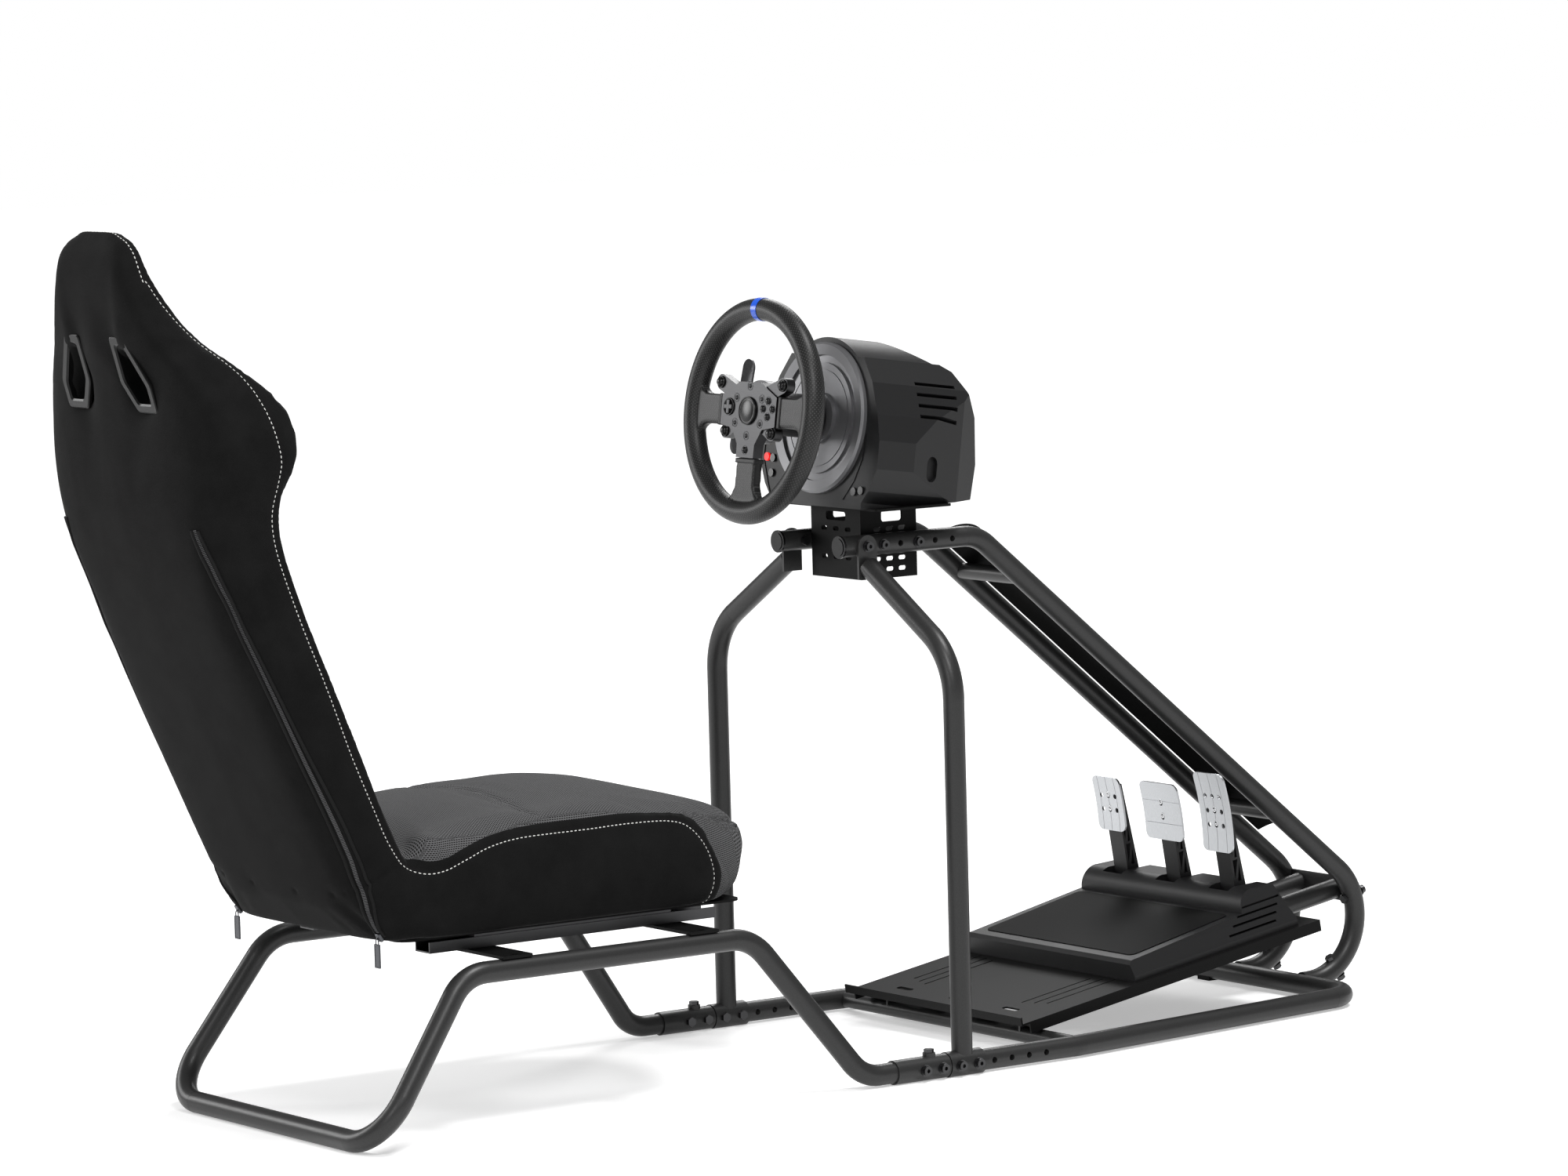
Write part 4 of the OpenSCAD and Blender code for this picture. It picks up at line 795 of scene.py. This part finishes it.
def turned_shape(name, profile, around=24):
    """A turned shape: profile of (radius, height) in mm from its top middle outwards."""
    work = bmesh.new()
    rings = []
    for radius, height in profile:
        if radius == 0:
            rings.append([work.verts.new((0, 0, height * mm))])
        else:
            rings.append([work.verts.new((radius * mm * math.cos(2 * math.pi * k / around),
                                          radius * mm * math.sin(2 * math.pi * k / around),
                                          height * mm)) for k in range(around)])
    for inner, outer in zip(rings, rings[1:]):
        for k in range(around):
            n = (k + 1) % around
            if len(inner) == 1:
                work.faces.new((inner[0], outer[k], outer[n]))
            elif len(outer) == 1:
                work.faces.new((inner[k], outer[0], inner[n]))
            else:
                work.faces.new((inner[k], outer[k], outer[n], inner[n]))
    bmesh.ops.recalc_face_normals(work, faces=work.faces)
    for face in work.faces:
        face.smooth = True
    return new_object(name, mesh_of(name, work))


patterns = []

# %% [markdown]
# The side seam is sewn in a pale thread that stands out from the black suede, and the line
# along the nose in a charcoal one. One stitch is modelled, and the tree repeats it.

# %% Stitches
# Polyester thread, pale grey: each stitch is a small pillow, a little proud of the cloth.
stitch_size = (4.4 * mm, 1.6 * mm, 1.2 * mm)
stitch_pitch = 6.2 * mm
thread = finish("polyester_thread_pale_grey", "D0D0CC", 0.7)
work = bmesh.new()
bmesh.ops.create_icosphere(work, subdivisions=1, radius=0.5)
bmesh.ops.scale(work, vec=stitch_size, verts=work.verts)
stitch_mesh = mesh_of("stitch", work)
stitch = new_object("stitch_pattern", stitch_mesh)
patterns.append(stitch)
final_skin = skin(seat_cover)
# The threads run just below the side seam and in front of the nose's line.
stitch_seam = [(y - 2.5, z - 3) for y, z in side_seam]
stitch_runs = [side_run(final_skin, stitch_seam, side, 3) for side in (1, -1)]
stitch_runs.append(head_run(final_skin, back_mm=-1083))
grown("side_stitches", along_path, spots("side_stitches", stitch_runs, lift=0.2 * mm),
      "seat", "seat_cloth", Shape=stitch, Pitch=stitch_pitch, Coat=thread)
dark_thread = finish("polyester_thread_charcoal", "3C3C3E", 0.7)
nose_stitch = [(x * 1.03, y + 5) for x, y in nose_line]
grown("nose_stitches", along_path,
      spots("nose_stitches", [from_above(final_skin, nose_stitch)], lift=0.2 * mm),
      "seat", "cushion_mesh", Shape=stitch, Pitch=stitch_pitch, Coat=dark_thread)

# %% [markdown]
# Two zips close the cover down the rear corners of the backrest. A coil zip is a row of
# nylon loops between two tapes, with a welt of suede on each side, and a slider with a pull.


# %% Zips
def tube(name, points, radius):
    """A round tube along points, closed at its ends."""
    curve = bpy.data.curves.new(name, "CURVE")
    curve.dimensions = "3D"
    curve.bevel_depth = radius
    curve.bevel_resolution = 2
    curve.use_fill_caps = True
    line = curve.splines.new("POLY")
    line.points.add(len(points) - 1)
    for spot, place in zip(line.points, points):
        spot.co = (*place, 1)
    piece = bpy.data.objects.new(name, curve)
    scene.collection.objects.link(piece)
    bpy.context.view_layer.update()
    view = bpy.context.evaluated_depsgraph_get()
    mesh = bpy.data.meshes.new_from_object(piece.evaluated_get(view))
    bpy.data.objects.remove(piece)
    mesh.polygons.foreach_set("use_smooth", [True] * len(mesh.polygons))
    return mesh


def joined(name, meshes, body, slot, coat):
    work = bmesh.new()
    for mesh in meshes:
        work.from_mesh(mesh)
    whole = mesh_of(name, work)
    piece = new_object(name, whole, coat)
    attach(piece, body)
    print(name, "faces", len(whole.polygons))
    return piece


# Grey nylon coil with a small shine, welts of the suede, and pulls of black nickel.
nylon = finish("nylon_zip_coil_grey", "3A3A3B", 0.4)
welt_cloth = finish("suede_cloth_welt", "151515", 0.8, Specular_IOR_Level=0.15)
grain(welt_cloth, 0.9, 0.2)
pull_steel = finish("black_nickel_zip_pull", "4E4F52", 0.3, 1.0)
work = bmesh.new()
bmesh.ops.create_cone(work, cap_ends=True, segments=6, radius1=0.75 * mm, radius2=0.75 * mm,
                      depth=5 * mm, matrix=Matrix.Rotation(math.pi / 2, 4, "X"))
tooth = new_object("tooth_pattern", mesh_of("tooth", work))
patterns.append(tooth)
# A zip from the shoulder down to the pan, seen from behind, in mm to the side and up.
zip_line = [(160, 785), (170, 700), (178, 580), (181, 420), (179, 330), (176, 290), (171, 262)]


def rear_run(side, shift):
    """The zip's line on one side of the cover's rear, moved outwards by some mm."""
    return all_landed(final_skin, [((side * (x + shift) * mm, in_frame(-1250, 0)[0], z * mm),
                                    (0, 1, 0)) for x, z in eased(zip_line, 6)])


zip_runs = [rear_run(side, 0) for side in (1, -1)]
welts = [tube("welt", [place + facing * 0.6 * mm for place, facing in rear_run(side, shift)],
              2.1 * mm) for side in (1, -1) for shift in (-5, 5)]
grown("zip_coils", along_path, spots("zip_coils", zip_runs, lift=0.3 * mm), "seat",
      "seat_cloth", Shape=tooth, Pitch=2.2 * mm, Coat=nylon)
joined("zip_welts", welts, "seat", "seat_cloth", welt_cloth)


def block(width, deep, high, place, round_mm=1.0, turned=0.0):
    """A bevelled block with its place in its mesh, all in mm."""
    work = bmesh.new()
    bmesh.ops.create_cube(work, size=1)
    bmesh.ops.scale(work, vec=(width * mm, deep * mm, high * mm), verts=work.verts)
    bmesh.ops.bevel(work, geom=work.edges[:], offset=round_mm * mm, segments=3,
                    profile=0.5, affect="EDGES")
    spot = Matrix.Translation(place) @ Matrix.Rotation(turned, 4, "X")
    bmesh.ops.transform(work, matrix=spot, verts=work.verts)
    return mesh_of("block", work)


# A slider on the coil, a ring, and a flat pull with a raised edge.
pulls = []
for run in zip_runs:
    low, out_dir = run[-1]
    hang = low + Vector((0, -5 * mm, -4 * mm))
    pulls.append(block(9, 5, 12, low + out_dir * 2.5 * mm, 1.5, 0.5))
    ring = [hang + Vector((3.2 * mm * math.cos(a), 0, -4 * mm + 5 * mm * math.sin(a)))
            for a in (k * math.pi / 8 for k in range(17))]
    pulls.append(tube("ring", ring, 0.8 * mm))
    pulls.append(block(10, 1.6, 28, hang + Vector((0, 0, -21 * mm)), 0.7))
    for side in (-1, 1):
        pulls.append(block(1.8, 2.8, 30, hang + Vector((side * 5 * mm, 0, -21 * mm)), 0.7))
    for height in (-7, -35):
        pulls.append(block(11.6, 2.8, 2.2, hang + Vector((0, 0, height * mm)), 0.7))
joined("zip_pulls", pulls, "seat", "seat_cloth", pull_steel)

# %% [markdown]
# The two openings for harness straps are lined with moulded plastic: a flat collar on the
# cover and a sleeve through the foam.

# %% Harness collars
slot_outline = [(-25, 36), (-7.5, 36), (25, -14.4), (25, -36), (-5, -36), (-25, -7.2)]
slot_centre = (74, 973)


def grown_outline(points, by, corner, steps=4):
    """An outline moved out by a distance, with its corners rounded."""
    p = [Vector(q) for q in points]
    out = []
    for i, q in enumerate(p):
        a = (q - p[i - 1]).normalized()
        b = (p[(i + 1) % len(p)] - q).normalized()
        na, nb = Vector((-a.y, a.x)), Vector((-b.y, b.x))
        mitre = (na + nb) / (1 + na.dot(nb))
        tip = q + mitre * by
        for k in range(steps + 1):
            t = k / steps
            out.append(tip - a * corner * (1 - t) ** 2 + b * corner * t ** 2)
    return out


def slot_plane(side, start_y, along_y, tree):
    """The cover's plane round a slot: its height above y as a straight function of z."""
    hits = all_landed(tree, [((side * (slot_centre[0] + x) * mm, in_frame(start_y, 0)[0],
                               (slot_centre[1] + z) * mm), (0, along_y, 0))
                             for x, z in grown_outline(slot_outline, 14, 3, 1)])
    return np.polyfit([place.z for place, _ in hits], [place.y for place, _ in hits], 1)


collars = []
for side in (1, -1):
    rear = slot_plane(side, -1250, 1, final_skin)
    front = slot_plane(side, -700, -1, final_skin)
    rings = []
    for plane, out_y, steps in ((rear, -1, [(11, -2), (11, 1.2), (9.5, 2.4), (2, 2.4),
                                            (-0.6, 0.6)]),
                                (front, 1, [(-0.6, 0.6), (2, 2.4), (9.5, 2.4), (11, 1.2),
                                            (11, -2)])):
        for grow, proud in steps:
            ring = []
            for x, z in grown_outline(slot_outline, grow, 5):
                height = (slot_centre[1] + z) * mm
                y = np.polyval(plane, height) + out_y * proud * mm
                ring.append((side * (slot_centre[0] + x) * mm, y, height))
            rings.append(ring)
    count = len(rings[0])
    points = [p for ring in rings for p in ring]
    faces = [(r * count + k, r * count + (k + 1) % count, (r + 1) * count + (k + 1) % count,
              (r + 1) * count + k) for r in range(len(rings) - 1) for k in range(count)]
    mesh = bpy.data.meshes.new("collar")
    mesh.from_pydata(points, [], faces)
    collars.append(mesh)
# Satin black plastic, smoother than the cloth, so that it catches the light at its lip.
collar_abs = finish("moulded_abs_satin_black", "0C0C0C", 0.3, Specular_IOR_Level=0.15)
grain(collar_abs, 0.8, 0.05)
collar_piece = joined("harness_collars", collars, "seat", "seat_cloth", collar_abs)
work = bmesh.new()
work.from_mesh(collar_piece.data)
bmesh.ops.recalc_face_normals(work, faces=work.faces)
work.to_mesh(collar_piece.data)
work.free()

# %% [markdown]
# The rim is a steel ring in hard foam, covered in perforated leather that runs down the
# spokes. A fine remesh of the solid softens where the spokes meet the ring, as leather does
# when it is stretched over a corner. The holes follow the ring, because the pattern is
# worked out round the steering axis.

# %% Steering axis
steering = next(j for j in frame["joints"] if j["name"] == "steering")
wheel_out = Vector(steering["axis"]).normalized()
wheel_right = Vector((1, 0, 0))
wheel_up = wheel_out.cross(wheel_right).normalized()
wheel_turn = Matrix((wheel_right, wheel_up, wheel_out)).transposed()
wheel_at = Matrix.Translation(Vector(steering["pos_m"])) @ wheel_turn.to_4x4()
rim_height, grip_ring, grip_round = 112, 135, 15
plate_top = 120.4
print("steering axis", [round(v, 3) for v in wheel_out])


def on_wheel(x, y, z):
    """A place on the wheel from mm to the right, up and towards the driver."""
    return wheel_at @ Vector((x * mm, y * mm, z * mm))


# %% Perforated leather
# Black nappa leather: a soft sheen, a fine grain, and rows of punched holes. The holes are drawn
# coarser than the real ones, so that they show, and are painted lighter grey than the leather:
# a painted highlight for the light caught in each hole.
around_count, across_count = 350, 38
hide = leather.node_tree
hide_place = add(hide, "ShaderNodeTexCoord")
own = add(hide, "ShaderNodeMapping", {"vector_type": "TEXTURE"}, Vector=hide_place.outputs["Object"],
          Location=Vector(steering["pos_m"]), Rotation=wheel_turn.to_euler())
xyz = add(hide, "ShaderNodeSeparateXYZ", Vector=own.outputs[0])
turn_angle = add(hide, "ShaderNodeMath", {"operation": "ARCTAN2"}, i0=xyz.outputs[1],
                 i1=xyz.outputs[0])
flat = add(hide, "ShaderNodeCombineXYZ", X=xyz.outputs[0], Y=xyz.outputs[1])
radius = add(hide, "ShaderNodeVectorMath", {"operation": "LENGTH"}, i0=flat.outputs[0])
out_r = add(hide, "ShaderNodeMath", {"operation": "SUBTRACT"}, i0=radius.outputs["Value"],
            i1=grip_ring * mm)
out_z = add(hide, "ShaderNodeMath", {"operation": "SUBTRACT"}, i0=xyz.outputs[2],
            i1=rim_height * mm)
grip_angle = add(hide, "ShaderNodeMath", {"operation": "ARCTAN2"}, i0=out_z.outputs[0],
                 i1=out_r.outputs[0])
u = add(hide, "ShaderNodeMath", {"operation": "MULTIPLY"}, i0=turn_angle.outputs[0],
        i1=around_count / (2 * math.pi))
v = add(hide, "ShaderNodeMath", {"operation": "MULTIPLY"}, i0=grip_angle.outputs[0],
        i1=across_count / (2 * math.pi))
hole_step = 2 * math.pi * grip_ring * mm / around_count
ring_way = add(hide, "ShaderNodeCombineXYZ", X=u.outputs[0], Y=v.outputs[0])
spoke_way = add(hide, "ShaderNodeVectorMath", {"operation": "SCALE"}, i0=flat.outputs[0],
                Scale=1 / hole_step)
on_ring = add(hide, "ShaderNodeMath", {"operation": "GREATER_THAN"}, i0=radius.outputs["Value"],
              i1=(grip_ring - grip_round - 1) * mm)
pick = add(hide, "ShaderNodeMix", {"data_type": "VECTOR"}, i0=on_ring.outputs[0],
           i4=spoke_way.outputs[0], i5=ring_way.outputs[0])
# Turned by an eighth, a square net gives staggered rows.
net = add(hide, "ShaderNodeMapping", Vector=pick.outputs[1], Rotation=(0, 0, math.pi / 4),
          Scale=(1 / math.sqrt(2), 1 / math.sqrt(2), 1))
cell = add(hide, "ShaderNodeTexVoronoi", {"voronoi_dimensions": "2D"}, Vector=net.outputs[0],
           Scale=1.0, Randomness=0.0)
hole = add(hide, "ShaderNodeMapRange", i0=cell.outputs["Distance"], i1=0.16, i2=0.27)
pores = add(hide, "ShaderNodeTexNoise", Vector=place_of(hide), Scale=1 / (1.1 * mm), Detail=2.0)
height = add(hide, "ShaderNodeMath", {"operation": "MULTIPLY_ADD"}, i0=pores.outputs["Fac"],
             i1=0.25, i2=hole.outputs[0])
hide_bump = add(hide, "ShaderNodeBump", Strength=0.4, Distance=0.3 * mm, Height=height.outputs[0])
# The holes get a lighter grey than the leather, a painted highlight for the light caught in them.
hole_highlight_tone = add(hide, "ShaderNodeMix", {"data_type": "RGBA"}, i0=hole.outputs[0],
             i6=linear("3A3A3A"), i7=linear("131313"))
hide.links.new(hide_bump.outputs[0], shader_of(leather).inputs["Normal"])
hide.links.new(hole_highlight_tone.outputs[2], shader_of(leather).inputs["Base Color"])

grip = remeshed(merged_copy("wheel_rim", "leather_grip"), 2.2, 6)
# Away from the spokes the ring is made exactly round again.
co, _ = places(grip)
own_co = np.array([wheel_at.inverted() @ Vector(p) for p in co])
ring_way_out = own_co * np.array([1, 1, 0])
ring_way_out /= np.linalg.norm(ring_way_out, axis=1, keepdims=True)
core = ring_way_out * grip_ring * mm + np.array([0, 0, rim_height * mm])
off = own_co - core
length = np.linalg.norm(off, axis=1, keepdims=True)
close = np.abs(length - grip_round * mm) < 1.5 * mm
own_co = np.where(close, core + off / length * grip_round * mm, own_co)
moved(grip, np.array([wheel_at @ Vector(p) for p in own_co]))
grip.data.materials.clear()
grip.data.materials.append(leather)
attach(grip, "wheel")
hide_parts("wheel_rim")
print("leather_grip faces", len(grip.data.polygons))

# %% [markdown]
# Where the leather ends at the hub it is folded over into a strip without holes and sewn in
# black. A bevelled block on each spoke is enough for it, because only its edge shows.

# %% Folded strips at the hub
# Plain leather: the same sheen as the grip's, with a fine grain.
strip_leather = finish("folded_leather_strip", "101010", 0.45, Specular_IOR_Level=0.35)
grain(strip_leather, 0.9, 0.12)
# Each spoke's angle, where its leather ends and how wide it is there, in mm.
spoke_ends = [(0, 63, 40), (180, 63, 40), (270, 62, 42)]
spoke_mid = 111
strip_high = 16.2
strips, strip_runs = [], []
for degrees, inner, wide in spoke_ends:
    turn_z = Matrix.Rotation(math.radians(degrees), 4, "Z")
    strip = block(6.5, wide + 2.2, strip_high, (0, 0, 0), 1.6)
    spot = wheel_at @ turn_z @ Matrix.Translation(Vector((inner + 4, 0, spoke_mid)) * mm)
    strip.transform(spot)
    strips.append(strip)
    for shift in (2, 6):
        top = spoke_mid + strip_high / 2
        strip_runs.append([((wheel_at @ turn_z) @ (Vector((inner + shift, y, top)) * mm),
                            wheel_out) for y in (-wide / 2, 0, wide / 2)])
joined("spoke_strips", strips, "wheel", "rim_leather", strip_leather)
black_thread = finish("polyester_thread_black", "2B2B2C", 0.6)
small_mesh = stitch_mesh.copy()
small_mesh.transform(Matrix.Scale(0.55, 4))
small_stitch = new_object("small_stitch_pattern", small_mesh)
patterns.append(small_stitch)
grown("strip_stitches", along_path, spots("strip_stitches", strip_runs), "wheel",
      "rim_leather", Shape=small_stitch, Pitch=2.6 * mm, Coat=black_thread)

# %% [markdown]
# The hub plate carries six countersunk screws round a badge, a cross pad, and domed buttons.
# The screws and buttons are turned shapes, set on points by the second tree; the badge and the cross pad's dish
# are turned shapes set straight onto the plate, and the cross is two bevelled blocks.

# %% Hub screws, buttons, badge and cross pad
screw = turned_shape("hub_screw_pattern", [(0, -1.8), (1.6, -1.8), (1.8, -0.2), (3.1, 0.0),
                                           (3.3, 0.3), (3.5, -0.2), (3.6, -1.6), (4.6, -0.4),
                                           (5.4, 0.35), (5.9, 0.3), (6.1, -0.1)])
patterns.append(screw)
# Places on the wheel, in mm: the screws' ring, the middle of the button cluster (the cross
# pad mirrors it), the cluster's own ring, and the top of the corner buttons' bosses.
screw_ring = 33
cluster_x, cluster_y = 44, 4
cluster_ring = 10.5
boss_top = 119.6
hub_points = [(on_wheel(screw_ring * math.cos(math.radians(a + 90)),
                        screw_ring * math.sin(math.radians(a + 90)), plate_top), wheel_out)
              for a in range(0, 360, 60)]
grown("hub_screws", on_points, spots("hub_screws", [hub_points], False), "wheel", "steel",
      Shape=screw, Size=1.0, Coat=black_steel)
dome = turned_shape("button_pattern", [(0, 3.6), (1.6, 3.5), (3.0, 3.0), (3.9, 2.1),
                                       (4.3, 0.9), (4.4, -0.5), (5.3, -0.5), (5.5, 0.25),
                                       (5.9, 0.2), (6.0, -0.6)])
patterns.append(dome)
button_places = [(cluster_x + cluster_ring * math.cos(math.radians(a)),
                  cluster_y + cluster_ring * math.sin(math.radians(a)), plate_top, 1.0)
                 for a in range(0, 360, 90)]
button_places.append((0, -52, plate_top, 1.0))
button_places += [(side * x, y, boss_top, 1.35) for side in (-1, 1)
                  for x, y in ((70, 36), (52, -28))]
buttons = grown("wheel_button_domes", on_points,
                spots("wheel_button_domes",
                      [[(on_wheel(x, y, z), wheel_out) for x, y, z, _ in button_places]],
                      False, sizes=[s for *_, s in button_places]),
                "wheel", "trim_plastic", Shape=dome, Size=1.0, Coat=smooth_abs)
pad_spot = wheel_at @ Matrix.Translation(Vector((-cluster_x, cluster_y, plate_top)) * mm)
dish = turned_shape("pad_dish", [(0, 0.4), (7, 0.4), (9.6, 1.0), (10.6, 1.9), (11.2, 1.9),
                                 (11.6, 1.2), (11.7, -0.4)], 48)
dish.data.transform(pad_spot)
dish_mesh = dish.data
bpy.data.objects.remove(dish)
# The cross is two bars, of which one lies a tenth higher so that no faces coincide.
arms = []
for turn_deg, rise in ((0, 1.6), (90, 1.7)):
    arm = block(18.5, 6.2, 3.0, (0, 0, 0), 0.9)
    arm.transform(pad_spot @ Matrix.Rotation(math.radians(turn_deg), 4, "Z")
                  @ Matrix.Translation((0, 0, rise * mm)))
    arms.append(arm)
joined("pad_dish", [dish_mesh], "wheel", "trim_plastic", smooth_abs)
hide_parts("wheel_buttons")
joined("pad_cross", arms, "wheel", "hub_metal", hub_alu)
badge = turned_shape("badge_dome", [(0, 4.2), (6, 4.0), (11, 3.5), (15, 2.7), (16.6, 2.2),
                                    (17.0, 2.9), (17.8, 3.3), (18.6, 2.9), (18.9, 1.5),
                                    (18.9, -0.3)], 64)
badge.data.transform(wheel_at @ Matrix.Translation(Vector((0, 0, plate_top)) * mm))
badge.data.materials.append(smooth_abs)
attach(badge, "wheel")
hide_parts("hub_badge")

# %% [markdown]
# Each pedal face is held on its arm by screws in its middle holes. They are turned shapes
# again, set on points that rays find on the face, so that they sit flush in a sloping plate.

# %% Pedal screws
# Bright zinc-plated steel: small sparks of light on the duller brushed faces.
bright_steel = finish("zinc_plated_steel_screw", "C6C7C9", 0.28, 1.0)
face_screw = turned_shape("face_screw_pattern", [(0, -1.4), (1.3, -1.4), (1.5, 0.15),
                                                 (3.4, 0.25), (4.1, 0.2), (4.2, -0.6)])
patterns.append(face_screw)
pedal_slope = math.radians(9.4)
pedal_up = Vector((0, -math.sin(pedal_slope), math.cos(pedal_slope)))
pedal_facing = -pedal_up.cross(Vector((1, 0, 0))).normalized()
# Each pedal, how far its face's middle lies above its pivot, and its rows of screws from
# there, in mm. A screw's place is the mean of four hits round the hole that it fills.
pedal_rows = [("clutch", 132, (-9, 11)), ("brake", 132, (-9, 11)), ("throttle", 142, (-19, 1))]
for name, middle, rows in pedal_rows:
    joint = next(j for j in frame["joints"] if j["name"] == name + "_press")
    face_skin = skin(nodes[name + "_face"])
    hits = []
    for row in rows:
        target = Vector(joint["pos_m"]) + pedal_up * (middle + row) * mm
        round_hits = all_landed(face_skin, [
            (target + Vector((dx * mm, -0.2, dz * mm)), (0, 1, 0))
            for dx in (-5, 5) for dz in (-5, 5)])
        place = sum((h[0] for h in round_hits), Vector()) / len(round_hits)
        hits.append((place, pedal_facing))
    grown(name + "_screws", on_points, spots(name + "_screws", [hits], False), name,
          "pedal_metal", Shape=face_screw, Size=1.0, Coat=bright_steel)
for pattern in patterns:
    bpy.data.objects.remove(pattern)
